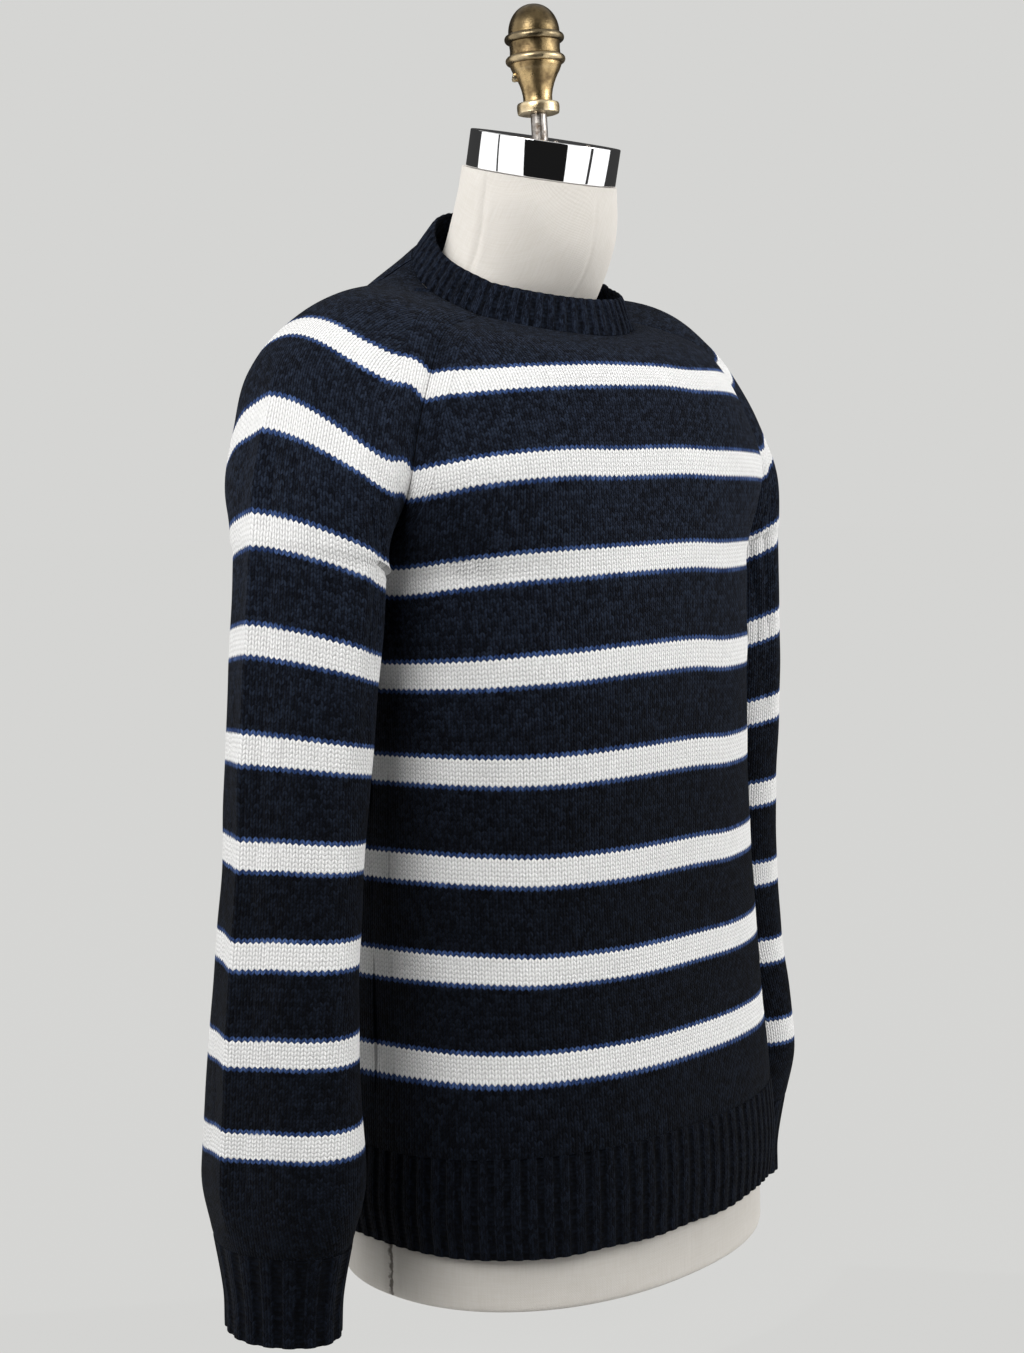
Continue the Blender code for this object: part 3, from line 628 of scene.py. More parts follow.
def v_stitch(g, wale, course):
    """A stitch is a V, lowest in the middle of its wale: its row, its leg and its strand."""
    off_centre = abs(g.math("FRACT", wale) * 2.0 - 1.0)
    leg_course = course - off_centre * 0.60
    leg = g.hump(off_centre, 0.45)
    strand = g.hump(g.math("FRACT", leg_course), 0.6)
    return g.math("FLOOR", leg_course), leg, strand


def knit_finish(g, colour, shade, relief, depth):
    fuzz = g.noise(g.place(), FIBRE_SCALE, 2, 0.6)
    return g.finish(Base_Color=g.shaded(colour, shade), Roughness=0.92,
                    Normal=g.bump(relief + fuzz * 0.25, depth), Sheen_Weight=0.012,
                    Sheen_Roughness=0.5, Specular_IOR_Level=0.05)


def knit_material(name, band):
    """Plain knitting; band is the width between the seam and the line of decreases."""
    g = Graph(name)
    arc = g.attribute("arc")
    seam = g.attribute("seam")
    in_band = seam < band
    wale = seam / WALE * in_band + (arc / WALE + 0.5) * (1.0 - in_band)
    row, leg, strand = v_stitch(g, wale, g.attribute("course"))
    wale_half = g.math("FLOOR", wale * 2.0)
    colour, is_white = striped_yarn(g, row, wale_half, arc)
    height = leg * (strand * 0.65 + 0.35)
    # painted shade: the hollows between the strands are darker, the navy more than the white
    shade = (g.range(height, 0.10, 0.75, 0.66, 1.0) * is_white
             + g.range(height, 0.15, 0.85, 0.32, 1.0) * (1.0 - is_white))
    return knit_finish(g, colour, shade, height, 0.00085)


def rib_material(name):
    """Ribbing: pairs of raised wales with a sunken pair between them."""
    g = Graph(name)
    rib = g.attribute("rib")
    course = g.attribute("course")
    within = g.math("FRACT", rib)
    raised = g.range(abs(within - 0.5), 0.24, 0.34, 1.0, 0.0)
    row, leg, strand = v_stitch(g, (within - 0.21) / 0.29, course)
    wale_half = g.math("FLOOR", rib * 6.0)
    colour = navy_yarn(g, row, wale_half, rib * 0.022)[0]
    knitted = leg * (strand * 0.6 + 0.4)
    purled = g.hump(g.math("FRACT", course)) * 0.5
    relief = knitted * raised + purled * (1.0 - raised)
    # painted shade in the stitches' hollows and on the sunken wales between the raised pairs
    shade = g.range(relief, 0.1, 0.8, 0.5, 1.0) * (raised * 0.34 + 0.66)
    return knit_finish(g, colour, shade, relief, 0.00075)


def linen_material():
    """Coarse linen: crossing threads with slubs, painted shade towards the bottom, hand-sewn seams
    darker than the cloth.
    """
    g = Graph("linen_woven")
    around = g.attribute("arc")
    rise = g.attribute("rise")
    warp = g.math("SINE", around * (2 * math.pi / WARP_STEP))
    weft = g.math("SINE", rise * (2 * math.pi / WEFT_STEP))
    slubs_across = g.noise(g.vector(around * 45.0, rise * 900.0), 1.0, 2, 0.6)
    slubs_up = g.noise(g.vector(around * 900.0, rise * 45.0), 1.0, 2, 0.6)
    slubs = slubs_across * 0.5 + slubs_up * 0.5
    colour = g.mix(g.range(slubs, 0.34, 0.66), (0.675, 0.637, 0.580), (0.720, 0.687, 0.640))
    # painted shade: the linen is darker towards the bottom, below the sweater's hem
    colour = g.shaded(colour, g.range(rise, 0.05, 0.30, 0.78, 1.0))
    rough_seam = g.attribute("seam") + (g.noise(g.place(), 260, 2) - 0.5) * 0.006
    dark = g.range(abs(rough_seam), 0.0006, 0.0026, 0.85, 0.0)
    dark = dark * g.range(rise, 0.09, 0.13, 1.0, 0.06)
    colour = g.mix(dark, colour, (0.060, 0.045, 0.035))
    normal = g.bump(warp * weft * 0.3 + slubs * 0.5, 0.00022)
    return g.finish(Base_Color=colour, Roughness=0.95, Normal=normal, Sheen_Weight=0.15,
                    Sheen_Roughness=0.5, Specular_IOR_Level=0.25)


def metal(g, colour, roughness, normal):
    return g.finish(Base_Color=colour, Metallic=1.0, Roughness=roughness, Normal=normal)


def chrome_material():
    g = Graph("chrome_plate")
    haze = g.noise(g.place(), 60, 4, 0.6)
    fine = g.noise(g.place(30, 30, 260), 20, 2, 0.5)
    roughness = g.range(haze, 0.4, 0.75, 0.02, 0.05) + fine * 0.01
    return metal(g, (0.78, 0.78, 0.79), roughness, g.bump(haze, 0.0004, 0.04))


def steel_material():
    g = Graph("steel_turned")
    rings = g.noise(g.place(40, 40, 1200), 1.0, 2, 0.5)
    stains = g.noise(g.place(), 180, 3, 0.6)
    colour = g.mix(g.range(stains, 0.45, 0.7), (0.30, 0.28, 0.26), (0.11, 0.085, 0.065))
    roughness = g.range(stains, 0.3, 0.7, 0.28, 0.5)
    return metal(g, colour, roughness, g.bump(rings, 0.0003, 0.5))


def brass_material():
    """Old brass, with painted shade towards the top, painted light on the foot, and brighter worn
    edges.
    """
    g = Graph("brass_aged")
    patches = g.noise(g.place(), 90, 4, 0.65)
    pits = g.noise(g.place(), 420, 3, 0.7)
    turned_lines = g.noise(g.place(30, 30, 900), 1.0, 2, 0.5)
    edges = g.made("ShaderNodeNewGeometry", (), "Pointiness")
    base = g.mix(g.range(patches, 0.40, 0.70), (0.30, 0.215, 0.105), (0.11, 0.075, 0.038))
    colour = g.mix(g.range(edges, 0.505, 0.55), base, (0.52, 0.43, 0.28))
    # painted light: darker on the dome and brighter on the foot, by height
    colour = g.shaded(colour, g.range(g.height(), 0.028, 0.055, 1.35, 0.52))
    roughness = g.range(patches, 0.3, 0.7, 0.24, 0.42)
    return metal(g, colour, roughness, g.bump(pits * 0.5 + turned_lines * 0.5, 0.0004, 0.6))


def wood_material():
    g = Graph("base_wood_grain")
    grain = g.noise(g.place(6, 90, 6), 6, 4, 0.6)
    colour = g.mix(g.range(grain, 0.35, 0.65), (0.075, 0.050, 0.032), (0.16, 0.11, 0.07))
    return g.finish(Base_Color=colour, Roughness=0.6, Normal=g.bump(grain, 0.0004, 0.5))


BODY_KNIT = knit_material("knit_body", FRONT_BAND)
SLEEVE_KNIT = knit_material("knit_sleeve", SLEEVE_BAND)
RIB_KNIT = rib_material("knit_rib")
LINEN = linen_material()
CHROME = chrome_material()
STEEL = steel_material()
BRASS = brass_material()
WOOD = wood_material()


# Cloth pieces

def tuck(distance, depth=SEAM_TUCK):
    return depth * bell(distance, TUCK_WIDTH)


def body_wander(across, up):
    """How many courses the body's knitting sags or lifts, as the photo's stripes do."""
    ups = (0, 0.15, 0.31, 0.49, 0.66, 0.83, 1, 1.32, 1.63, 2)
    columns = ((-0.85, (0, -3.4, -2.8, -2.9, -2.5, -0.6, 1.2, -0.2, -0.4, 0)),
               (-0.63, (0, -2.5, -2.3, -1.9, -1.5, -0.5, -0.6, -1.2, -0.5, 0)),
               (-0.43, (0, -2.2, -0.8, -0.6, -0.8, -1.1, -1.7, -1.3, -0.8, 0)),
               (-0.05, (0, -1.9, -0.4, -0.4, -1.0, -1.6, -2.0, -0.4, -0.7, 0)),
               (0.30, (0, -1.8, 0.2, 0.6, 0.3, 0, -0.9, 0.4, 0.4, 0)))
    total, weight = 0, 0
    for centre, sags in columns:
        near = bell(across - centre, 0.16) + 1e-6
        total = total + near * np.interp(up, ups, sags)
        weight = weight + near
    return total / weight * np.where(up > 0.9, smooth_step(1.0, 0.86, np.abs(across)), 1)


def sleeve_wander(side, around, down):
    """The same on a sleeve: lowest along its line of decreases, and tighter near the cuff."""
    downs = (0, 0.36, 0.72, 1, 1.146, 1.288, 1.43, 1.566, 1.706, 1.836, 2)
    along = {-1: (0, -2.0, 0.3, -1.3, -2.2, -3.1, -4.8, -7.2, -9.4, -13.0, -16.5),
             1: (0, -2.0, 0.3, -1.3, -0.6, -0.9, -1.8, -3.2, -5.7, -7.4, -9.5)}[side]
    off = np.abs(around)
    dip = np.interp(down, (0, 0.36, 0.72, 1, 1.146, 1.288), (0, 3.6, 4.0, 2.3, 1.5, 0))
    total = (np.interp(down, downs, along)
             + dip * (smooth_step(0, 0.6, off) * smooth_step(1, 0.66, off)))
    if side < 0:
        total = total + smooth_step(0.2, 0, off) * smooth_step(1.2, 1.6, down)
        behind = smooth_step(0.02, 0.26, around) * smooth_step(1, 0.6, around)
        total = total + 3.0 * behind * smooth_step(1.5, 1.95, down)
    return total * blend(smooth_step(1, 0.8, off), 1, smooth_step(0.98, 1.15, down))


def even_courses(course, distance, start, rows):
    """Courses of even height in these rows, counted on from the start row."""
    course[rows] = (course[start] + (distance - distance[start]) / COURSE)[rows]


def turn_near(normals, directions, distance):
    """Normals turned to the given directions close to an edge."""
    return unit(blend(normals, directions, bell(distance, EDGE_BLEND)[..., None]))


def face_seams(normals, run, level, raglan_share, seams):
    """Normals turned, at the first and last column, to what both pieces share at the seam."""
    for column, side, facing, sideways in seams:
        outward = raglan_outward(side, facing, level)
        below = np.broadcast_to(np.array([sideways, 0, 0.0]), outward.shape)
        edge = unit(blend(below, outward, raglan_share[:, None]))
        normals = turn_near(normals, edge[:, None, :], np.abs(run - run[:, [column]]))
    return normals


def knitted_wall(name, points, normals, relief, shift, lines, surface, flip):
    """The face follows the relief, and the back follows part of the face's hollows."""
    outer = points + normals * relief[..., None] + shift
    inner = points - normals * (WALL + 0.6 * np.minimum(relief, 0))[..., None] + shift
    return cloth_piece(name, outer, inner, lines, surface, flip)


def build_panel(name, facing):
    ups = np.concatenate([np.linspace(0, 1, 121), 1 + np.linspace(0, 1, 91)[1:]])
    columns = even_columns(lambda a, u: body_point(facing, a, u), np.array([0.9]),
                           GRID_COLUMNS)[0]
    across, up = np.broadcast_arrays(columns, ups[:, None])
    points = body_point(facing, across, up)
    middle = len(columns) // 2

    run = run_along(points, 1)
    arc = run - run[:, [middle]]
    half = arc[:, [-1]]
    below = (ups <= 1)[:, None]
    half_under = half[np.argmax(ups >= 1)]
    arc = np.where(below, arc * half_under / half, arc)
    half = np.where(below, half_under, half)
    climb = run_along(points, 0)
    course = BODY_COURSES * np.minimum(up, 1) + (up - 1).clip(0) / STRIPED_LEVEL * YOKE_COURSES
    striped_top = 1 + STRIPED_LEVEL
    even_courses(course, climb, np.argmax(ups >= striped_top), ups > striped_top)
    if facing < 0:
        course = course + body_wander(across, up)
    else:
        course = course + blend(body_wander(-1, up), body_wander(1, up), (1 + across) / 2)

    normals = face_seams(grid_normals(points) * -facing, run, np.clip(ups - 1, 0, 1),
                         smooth_step(0.97, 1.06, ups), ((0, -1, facing, -1), (-1, 1, facing, 1)))
    from_neck = np.linalg.norm(points - points[-1:], axis=-1)
    normals = turn_near(normals, neck_frame(points[-1])[0], from_neck)
    from_side = np.minimum(run, run[:, [-1]] - run)
    relief = (-tuck(from_side) - tuck(climb[-1:] - climb) - tuck(climb, RIB_TUCK)
              + body_folds(points, facing))
    shift = np.zeros_like(points)
    shift[:, 0, 0] = HALF_GAP
    shift[:, -1, 0] = -HALF_GAP
    shift[0, :, 2] = HALF_GAP
    shift[-1, :, 2] = -HALF_GAP
    lines = {"arc": arc, "seam": half - np.abs(arc), "course": course}
    piece = knitted_wall(name, points, normals, relief, shift, lines, BODY_KNIT, facing > 0)
    length = float(climb[:, middle].max()) + CORNER_RISE
    return piece, *flat_size(points, float(2 * half.max()), length)


def body_folds(points, facing):
    """Unevenness of the hanging body, with soft drags from the underarms."""
    relief = 0.0007 * ripple(points, 0.16, 2 + facing) + 0.0004 * ripple(points, 0.07, 5 + facing)
    depth_y = -0.085 if facing < 0 else 0.100
    drags = (((0.158, 0.75, 0.545), (0.120, 1.18, 0.470), 0.013, -1),
             ((0.160, 0.70, 0.500), (0.140, 1.05, 0.300), 0.016, -0.8),
             ((0.150, 0.92, 0.540), (0.105, 1.27, 0.440), 0.014, 0.6))
    for side, height in ((-1, 0.0022), (1, 0.0018)):
        for *ends, width, share in drags:
            places = [(side * x, depth_y * y, z) for x, y, z in ends]
            relief = relief + crease(points, places, width, height * share)
    return relief


def build_sleeve(name, side):
    downs = np.concatenate([np.linspace(0, 1, 81), 1 + np.linspace(0, 1, 131)[1:]])
    columns = even_columns(lambda a, d: sleeve_point(side, a, d), downs, GRID_COLUMNS)
    middle = columns.shape[1] // 2
    columns[:, middle] = 0
    down = np.broadcast_to(downs[:, None], columns.shape)
    points = sleeve_point(side, columns, down)

    run = run_along(points, 1)
    seam = np.minimum(run, run[:, [-1]] - run)
    drop = run_along(points, 0)
    course = np.where(down <= 1, BODY_COURSES + (1 - down) / STRIPED_LEVEL * YOKE_COURSES,
                      BODY_COURSES - SLEEVE_COURSES * (down - 1))
    striped_top = 1 - STRIPED_LEVEL
    even_courses(course, -drop, np.argmax(downs >= striped_top), downs < striped_top)
    course = course + sleeve_wander(side, columns, down)

    normals = face_seams(grid_normals(points) * -side, run, np.clip(1 - downs, 0, 1),
                         smooth_step(1.05, 0.97, downs), ((0, side, -1, -side), (-1, side, 1, -side)))
    normals = turn_near(normals, neck_frame(points[0])[0], drop)
    relief = (-tuck(seam) - tuck(drop) - tuck(drop[-1:] - drop, RIB_TUCK)
              + sleeve_folds(points, columns, down, side))
    shift = np.zeros_like(points)
    open_part = downs <= 1
    shift[open_part, 0, 0] = side * HALF_GAP
    shift[open_part, -1, 0] = side * HALF_GAP
    shift[~open_part, 0, 1] = -HALF_GAP
    shift[~open_part, -1, 1] = HALF_GAP
    shift[0, :, 2] = -HALF_GAP
    shift[-1, :, 2] = HALF_GAP
    lines = {"arc": run - run[:, [middle]], "seam": seam, "course": course}
    piece = knitted_wall(name, points, normals, relief, shift, lines, SLEEVE_KNIT, side > 0)
    return piece, *flat_size(points, float(run[:, -1].max()), float(drop[-1].max()))


def sleeve_folds(points, around, down, side):
    """The pressed crease down the outer side, flat beside it, and a fold below the armhole."""
    relief = 0.0006 * ripple(points, 0.12, 8 + side) + 0.0004 * ripple(points, 0.06, 3 + side)
    pressed = smooth_step(0.45, 0.8, down) * smooth_step(2.0, 1.9, down)
    relief = relief + pressed * 0.0040 * np.exp(-np.abs(around - 0.02) / 0.055)
    relief = relief - pressed * 0.0022 * bell(around + 0.12, 0.08)
    relief = relief - pressed * 0.0018 * bell(around - 0.15, 0.08)
    from_fold = np.abs(around) - (0.62 - 0.10 * np.clip(down - 0.75, 0, 1))
    length = smooth_step(0.62, 0.85, down) * smooth_step(1.45, 1.05, down)
    relief = relief - 0.0030 * length * bell(from_fold, 0.05)
    return relief + 0.0012 * length * bell(from_fold + 0.13, 0.06)


def rib_piece(name, points, normals, climb, flip, wrap, dip=np.zeros(1), roll=np.zeros(1)):
    """Pairs of wales raised between sunken ones; dip is at its seam, and roll at its free edge."""
    ribs = np.broadcast_to(np.arange(points.shape[1]) / RIB_COLUMNS, climb.shape)
    relief = -RIB_DEPTH * smooth_step(0.20, 0.36, np.abs(ribs % 1 - 0.5)) - dip - roll
    outer = points + normals * relief[..., None]
    inner = points - normals * (WALL - 0.5 * roll)[..., None]
    lines = {"rib": ribs, "course": climb / COURSE}
    return cloth_piece(name, outer, inner, lines, RIB_KNIT, flip, wrap)


def level(normals):
    """The directions without their rise or fall."""
    normals[..., 2] = 0
    return unit(normals)


def build_hem(name, facing):
    heights = np.linspace(HEM_HEIGHT, RIB_TOP_HEIGHT, RIB_ROWS)
    columns = even_columns(lambda a, h: torso_point(facing, a, h), np.array([0.1]),
                           RIB_COLUMNS * HEM_RIBS)[0]
    across, height = np.broadcast_arrays(columns, heights[:, None])
    points = torso_point(facing, across, height)
    normals = level(grid_normals(points) * -facing)
    points[:, [0, -1], 1] += facing * HALF_GAP
    points[-1, :, 2] -= HALF_GAP
    points += normals * (0.0005 * ripple(points, 0.11, 4))[..., None]
    free_edge = smooth_step(RIB_TOP_HEIGHT, HEM_HEIGHT, height)
    points[..., 2] += 0.0016 * ripple(points, 0.09, 7) * free_edge
    piece = rib_piece(name, points, normals, height - RIB_TOP_HEIGHT, facing > 0, False)
    width = float(run_along(points, 1)[:, -1].max())
    return piece, *flat_size(points, width, RIB_TOP_HEIGHT - HEM_HEIGHT)


def build_cuff(name, side):
    heights = np.linspace(CUFF_HEIGHT, CUFF_TOP_HEIGHT, RIB_ROWS)
    columns = even_columns(lambda a, h: tube_point(side, a, h), heights,
                           RIB_COLUMNS * CUFF_RIBS)[:, :-1]
    height = np.broadcast_to(heights[:, None], columns.shape)
    points = tube_point(side, columns, height)
    normals = level(ring_normals(points) * side)
    width = float(ring_lengths(points).max())
    points[-1, :, 2] -= HALF_GAP
    piece = rib_piece(name, points, normals, height - CUFF_TOP_HEIGHT, side < 0, True)
    return piece, *flat_size(points, width, CUFF_TOP_HEIGHT - CUFF_HEIGHT)


def neckline(turns):
    """Points round the neckline: 0 to 1 is the front, then a sleeve, the back and a sleeve."""
    turns = np.asarray(turns) % 4
    top = np.ones_like(turns)
    front, back = yoke_point(-1, 2 * turns - 1, top), yoke_point(1, 5 - 2 * turns, top)
    left = cap_point(1, np.clip(2 * turns - 3, -1, 1), top)
    right = cap_point(-1, np.clip(7 - 2 * turns, -1, 1), top)
    part = np.floor(turns)[..., None]
    return np.where(part < 1, front, np.where(part < 2, left, np.where(part < 3, back, right)))


def build_neckband(name):
    count = RIB_COLUMNS * NECK_RIBS
    turns = even_columns(lambda t, _: neckline(t), np.array([0.0]), count, 0, 3.99999, 4000)[0][:-1]
    rises = np.linspace(0, 1, 17)
    seam = np.broadcast_to(neckline(turns), (len(rises), count, 3))
    rise = np.broadcast_to(rises[:, None], (len(rises), count))
    outward, towards = neck_frame(seam)
    face, climb = leaning(*neck_axes(seam), NECKBAND_LEAN)
    normals = unit(blend(outward, face, smooth_step(0, 0.25, rise)[..., None]))
    points = seam + towards * NECK_GAP + climb * (NECKBAND_HEIGHT * rise)[..., None]
    piece = rib_piece(name, points, normals, (rise - 1) * NECKBAND_HEIGHT, False, True,
                      tuck(rise * NECKBAND_HEIGHT, 0.0007),
                      0.0012 * smooth_step(0.88, 1.0, rise) ** 2)
    return piece, *flat_size(points, float(ring_lengths(points)[0]), NECKBAND_HEIGHT)


def settle(piece, node=None, matrix=None):
    """Every piece rides the one body; most stand for a solid, and the turned ones are placed."""
    if matrix is not None:
        piece.matrix_world = matrix
        bpy.context.view_layer.update()
    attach(piece, "root")
    if node:
        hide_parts(node)


for node, build, how, rests_on in (
        ("front", build_panel, ("front_panel", -1), ["sleeve_right", "sleeve_left"]),
        ("back", build_panel, ("back_panel", 1), ["sleeve_right", "sleeve_left"]),
        ("sleeve_right", build_sleeve, ("right_sleeve", -1), ["form_torso"]),
        ("sleeve_left", build_sleeve, ("left_sleeve", 1), ["form_torso"]),
        ("neckband", build_neckband, ("neck_rib",), ["front", "back"]),
        ("front_hem_rib", build_hem, ("front_hem", -1), ["front"]),
        ("back_hem_rib", build_hem, ("back_hem", 1), ["back"]),
        ("cuff_right", build_cuff, ("right_cuff", -1), ["sleeve_right"]),
        ("cuff_left", build_cuff, ("left_cuff", 1), ["sleeve_left"])):
    piece, flat, area = build(*how)
    settle(piece, node)
    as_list(rests_on)


# Dress form

def capped_faces(rows, count, flip):
    """The faces of a tube that is closed at both ends."""
    first, last = list(range(count)), list(range((rows - 1) * count, rows * count))
    ends = [first, last[::-1]] if flip else [first[::-1], last]
    return grid_quads(rows - 1, count, 0, flip, True).tolist() + ends


def build_form():
    """The padded form on a finer grid, with sewn seams at its sides and down its front."""
    count = 256
    heights = np.concatenate([FORM_BOTTOM + np.array([0.0, 0.0008, 0.002, 0.004, 0.007]),
                              np.linspace(0.034, 0.66, 90), np.linspace(0.664, 0.7965, 60)])
    inset = np.concatenate([[0.0040, 0.0018, 0.0006, 0.0001, 0.0], np.zeros(150)])[:, None]
    turn, height = np.broadcast_arrays(np.arange(count) / count * 2 * math.pi, heights[:, None])
    exponent = 2 / blend(FORM_SQUARENESS, 2, np.clip((height - 0.6) / 0.1, 0, 1))
    depth = np.where(np.sin(turn) < 0, FORM.read("front_depth", height),
                     FORM.read("back_depth", height))
    x = (FORM.read("half_width", height) - inset) * power(np.cos(turn), exponent)
    y = (depth - inset) * power(np.sin(turn), exponent)
    lean = np.radians(FORM.read("lean", height))
    points = stack(x, FORM.read("centre_y", height) + y * np.cos(lean), height + y * np.sin(lean))
    run = run_along(np.concatenate([points, points[:, :1]], axis=1), 1)[:, :-1]
    ring = run[:, [-1]]
    attributes = {"arc": run, "rise": run_along(points, 0)}
    nearest = np.full(height.shape, 1.0)
    for place in (0, count // 2):
        gap = run - run[:, [place]]
        gap = np.where(gap > ring / 2, gap - ring, gap)
        nearest = np.where(np.abs(gap) < np.abs(nearest), gap, nearest)
    attributes["seam"] = nearest
    front_seam = run - run[:, [3 * count // 4]]
    relief = -0.0012 * bell(nearest, 0.0022) - 0.0006 * bell(front_seam, 0.0018)
    relief += 0.0006 * bell(np.abs(nearest) - 0.006, 0.003) + 0.0005 * ripple(points, 0.05, 6)
    relief *= smooth_step(FORM_BOTTOM, FORM_BOTTOM + 0.006, height)
    relief *= smooth_step(0.795, 0.78, height)
    points = points + ring_normals(points) * relief[..., None]
    piece = add_mesh("linen_torso", points, capped_faces(len(heights), count, False), LINEN,
                     attributes)
    settle(piece, "form_torso")


def turned(name, profile, steps, surface):
    """A profile of (radius, height) pairs from the top down, turned about Z."""
    outline = np.array(profile)
    angle = np.arange(steps) / steps * 2 * math.pi
    middle = outline[1:-1]
    points = stack(middle[:, :1] * np.cos(angle), middle[:, :1] * np.sin(angle),
                   middle[:, 1:] + 0 * angle).reshape(-1, 3)
    count = len(points)
    points = np.concatenate([points, [[0, 0, outline[0, 1]], [0, 0, outline[-1, 1]]]])
    faces = grid_quads(len(middle) - 1, steps, 0, True, True).tolist()
    for k in range(steps):
        following = (k + 1) % steps
        faces.append([count, k, following])
        low = (len(middle) - 1) * steps
        faces.append([count + 1, low + following, low + k])
    return add_mesh(name, points, faces, surface, sharp=40)


def finial_profile():
    profile = []
    for k in range(19):
        angle = math.pi / 2 * (1 - k / 18)
        radius = 0.0182 * math.cos(angle) ** 0.92 if k else 0
        profile.append((radius, 0.0560 + 0.0205 * math.sin(angle)))
    for centre in (0.0525, 0.0375):
        for k in range(13):
            angle = math.pi * (0.5 - k / 12)
            profile.append((0.0182 + 0.0030 * math.cos(angle), centre + 0.0030 * math.sin(angle)))
        if centre > 0.05:
            profile += [(0.0179, 0.0480), (0.0177, 0.0450), (0.0179, 0.0420)]
    profile += [(0.0180, 0.0330), (0.0168, 0.0300), (0.0150, 0.0270), (0.0135, 0.0238),
                (0.0122, 0.0205), (0.0111, 0.0168), (0.0104, 0.0130), (0.0103, 0.0105),
                (0.0104, 0.0085), (0.0112, 0.0081), (0.0128, 0.0078), (0.0144, 0.0074),
                (0.0149, 0.0066), (0.0151, 0.0045), (0.0149, 0.0015), (0.0146, 0.0003),
                (0.0138, 0.0)]
    profile.append((0, 0))
    return profile


def add_stub():
    """The broken-off end of a wing screw, on the left of the finial's waist in the photo."""
    rings, count = [], 20
    turn = np.arange(count) / count * 2 * math.pi
    for reach, radius in ((0.0085, 0.0030), (0.0150, 0.0030), (0.0160, 0.0036),
                          (0.0178, 0.0034), (0.0184, 0.0022)):
        rings.append(stack(-reach + 0 * turn, radius * np.cos(turn), radius * np.sin(turn)))
    points, faces = np.stack(rings), capped_faces(len(rings), count, True)
    matrix = (Matrix.Translation(FINIAL_FOOT + Vector((0, 0, 0.0225)))
              @ Matrix.Rotation(CAMERA_TURN, 4, "Z") @ Matrix.Rotation(math.radians(12), 4, "Y"))
    settle(add_mesh("finial_stub", points, faces, BRASS), matrix=matrix)


def build_finial():
    matrix = Matrix.Translation(FINIAL_FOOT) @ Matrix.Rotation(FINIAL_LEAN, 4, "X")
    settle(turned("brass_finial", finial_profile(), 96, BRASS), "finial", matrix)


def build_cap():
    """The chrome cap, turned finely so that it mirrors without facets."""
    rim = 0.0008
    half = CAP_THICKNESS / 2
    corner = [(CAP_RADIUS - rim + rim * math.sin(a), half - rim + rim * math.cos(a))
              for a in np.linspace(0, math.pi / 2, 5)]
    profile = [(0, half), (CAP_RADIUS - 2 * rim, half)] + corner
    profile += [(radius, -height) for radius, height in reversed(profile)]
    matrix = Matrix.Translation(CAP_CENTRE) @ Matrix.Rotation(CAP_TILT, 4, "X")
    settle(turned("polished_cap", profile, 256, CHROME), "neck_cap", matrix)


def build_rivets():
    """Two small domed rivets on the front rim of the chrome cap."""
    tilt = Matrix.Rotation(CAP_TILT, 4, "X")
    for k, turn in enumerate((math.radians(232), math.radians(262))):
        profile = [(0, 0.0010)] + [(0.0019 * math.sin(a), 0.0010 * math.cos(a))
                                   for a in np.linspace(0.25, math.pi / 2, 7)]
        profile += [(0.0019, -0.0005), (0, -0.0005)]
        rivet = turned(f"cap_rivet_{k + 1}", profile, 32, STEEL)
        radius = CAP_RADIUS - 0.006
        spot = Vector((radius * math.cos(turn), radius * math.sin(turn), CAP_THICKNESS / 2))
        settle(rivet, matrix=Matrix.Translation(CAP_CENTRE + tilt @ spot) @ tilt)


def repaint(node, surface):
    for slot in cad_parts[node].material_slots:
        slot.material = surface


build_form()
build_finial()
add_stub()
build_cap()
build_rivets()
repaint("finial_rod", STEEL)
repaint("form_base", WOOD)


# Floor, light and camera

def build_floor():
    bpy.ops.mesh.primitive_circle_add(vertices=96, radius=14, fill_type="NGON")
    floor = bpy.context.object
    floor.name = "studio_floor"
    floor.data.materials.append(Graph("studio_paper").finish(
        Base_Color=(0.01, 0.01, 0.01), Roughness=0.9, Specular_IOR_Level=0.0,
        Emission_Strength=1.0, Emission_Color=(0.657, 0.657, 0.644)))


CARD_RING = 3


def build_cards():
    """Dark and bright cards round the set for the polished metal; those marked True light it."""
    for name, first, last, tone, lighting in (
            ("card_back", 117, 248, 0.05, False), ("card_left", -112, -73, 1.5, True),
            ("card_left_gap", -73, -70, 0.05, False), ("card_left_near", -70, -29, 1.5, True),
            ("card_front", -29, 35, 0.012, True), ("card_right_near", 35, 74, 1.5, True),
            ("card_right_gap", 74, 79, 0.05, False), ("card_right", 79, 117, 1.5, True)):
        turns = np.radians(np.linspace(first, last, 13)) + TOWARDS_CAMERA
        line = stack(CARD_RING * np.cos(turns), CARD_RING * np.sin(turns), 0 * turns)
        wall = np.stack([line + [0, 0, -0.2], line + [0, 0, 3.2]])
        ground = np.stack([line * 0.12, line]) + [0, 0, 0.012]
        surface = Graph(name).finish(Base_Color=(0.0, 0.0, 0.0), Specular_IOR_Level=0.0,
                                     Emission_Strength=1.0, Emission_Color=(tone, tone, tone))
        for label, points, lit in ((name, wall, lighting), (name + "_ground", ground, False)):
            card = add_mesh(label, points, grid_quads(1, 12).tolist(), surface)
            card.visible_camera = card.visible_transmission = False
            card.visible_diffuse = card.visible_shadow = lit


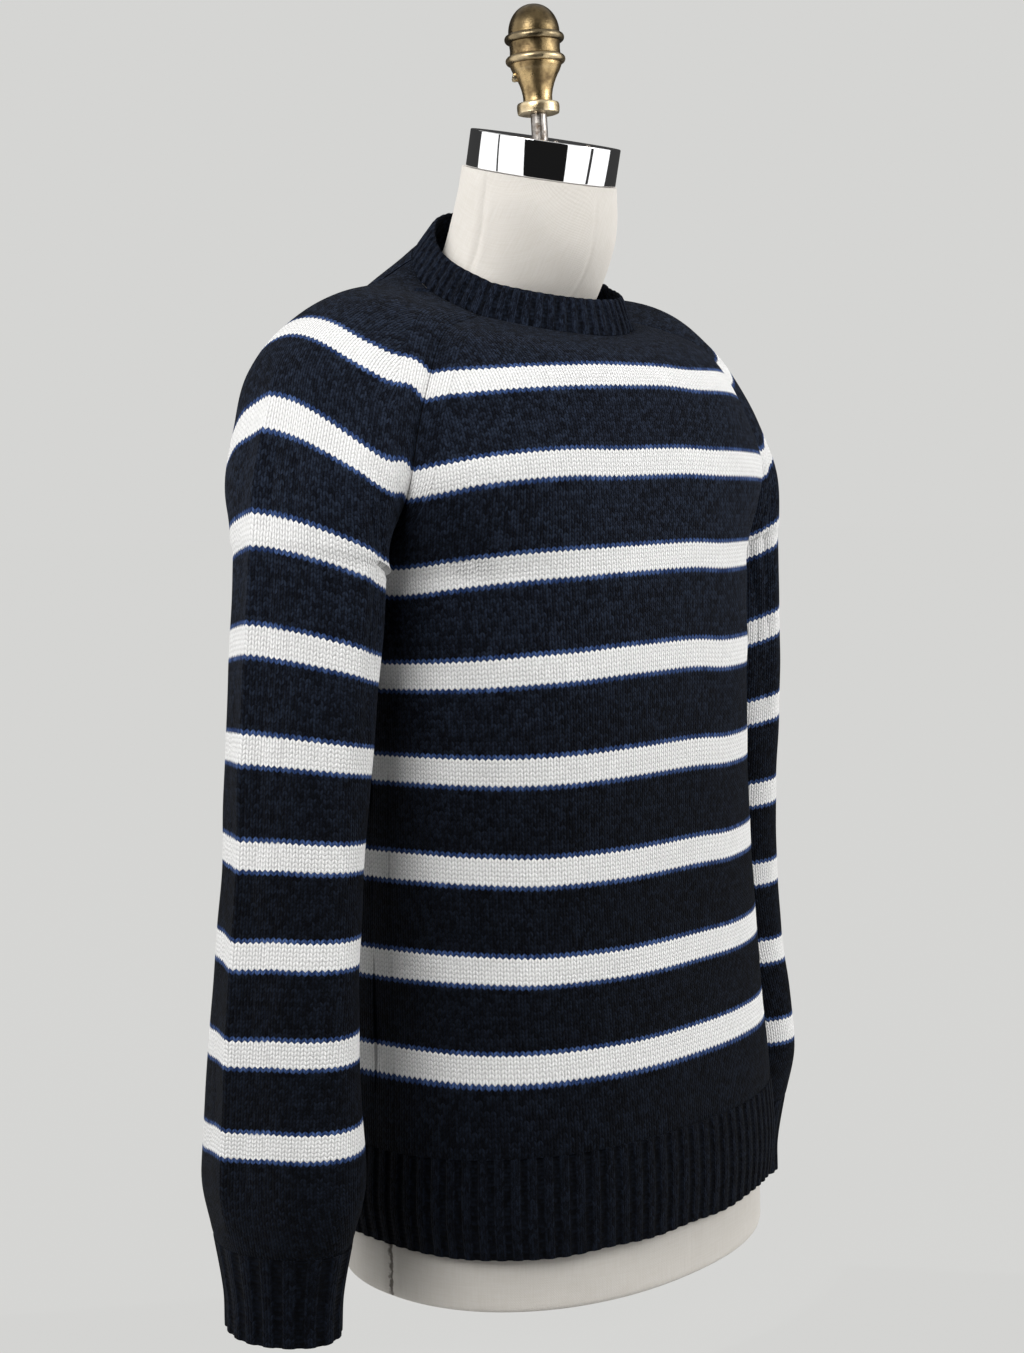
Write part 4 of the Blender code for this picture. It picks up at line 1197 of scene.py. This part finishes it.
def build_dark_cloth():
    """Black cloth on the floor before the form, so that little light comes up from below."""
    turns = TOWARDS_CAMERA + np.radians(np.linspace(-80, 80, 25))
    near = stack(0.24 * np.cos(turns), 0.20 * np.sin(turns), 0.004 + 0 * turns)
    far = stack(2.9 * np.cos(turns), 2.9 * np.sin(turns), 0.004 + 0 * turns)
    surface = Graph("black_cloth").finish(Base_Color=(0.01, 0.01, 0.01), Roughness=0.9,
                                          Specular_IOR_Level=0.1)
    cloth = add_mesh("dark_floor_cloth", np.stack([near, far]), grid_quads(1, 24).tolist(),
                     surface)
    cloth.visible_camera = cloth.visible_glossy = False


def area_light(name, place, target, size, power_watts):
    data = bpy.data.lights.new(name, "AREA")
    data.shape = "RECTANGLE"
    data.size, data.size_y = size
    data.energy = power_watts
    light = bpy.data.objects.new(name, data)
    light.location = place
    direction = Vector(target) - Vector(place)
    light.rotation_euler = direction.to_track_quat("-Z", "Y").to_euler()
    bpy.context.scene.collection.objects.link(light)


def turn_pair(first, second, angle):
    """Two square directions, the first turned towards the second."""
    return (first * math.cos(angle) + second * math.sin(angle),
            second * math.cos(angle) - first * math.sin(angle))


def camera_matrix():
    """The photograph's viewpoint: turned, then turned a little sideways, tipped and rolled."""
    up = Vector((0, 0, 1))
    right = Vector((math.cos(CAMERA_TURN), math.sin(CAMERA_TURN), 0))
    ahead = Vector((-math.sin(CAMERA_TURN), math.cos(CAMERA_TURN), 0))
    place = -ahead * CAMERA_DISTANCE + up * CAMERA_HEIGHT
    yaw = math.atan((CENTRE_PIXEL - PHOTO_WIDTH / 2) / FOCAL_PIXELS)
    right, ahead = turn_pair(right, ahead, yaw)
    up, ahead = turn_pair(up, ahead, CAMERA_PITCH)
    right, up = turn_pair(right, up, CAMERA_ROLL)
    matrix = Matrix((right, up, -ahead)).transposed().to_4x4()
    matrix.translation = place
    return matrix


def build_camera():
    data = bpy.data.cameras.new("photo_view")
    data.sensor_fit = "HORIZONTAL"
    data.sensor_width = 36
    data.lens = 36 * FOCAL_PIXELS / PHOTO_WIDTH
    data.clip_start, data.clip_end = 0.05, 60
    camera = bpy.data.objects.new("photo_view", data)
    camera.matrix_world = camera_matrix()
    bpy.context.scene.collection.objects.link(camera)
    bpy.context.scene.camera = camera


def build_light():
    world = bpy.data.worlds.new("studio")
    world.use_nodes = True
    background = world.node_tree.nodes["Background"]
    background.inputs["Color"].default_value = (0.665, 0.665, 0.652, 1)
    background.inputs["Strength"].default_value = 1.0
    bpy.context.scene.world = world
    area_light("key", (-2.6, -0.6, 2.0), (0, 0, 0.45), (1.6, 1.6), 70)
    area_light("fill", (1.35, -2.35, 1.4), (0, 0, 0.5), (1.2, 1.6), 42)


bpy.context.scene.view_settings.view_transform = "Standard"
build_floor()
build_cards()
build_dark_cloth()
build_light()
build_camera()
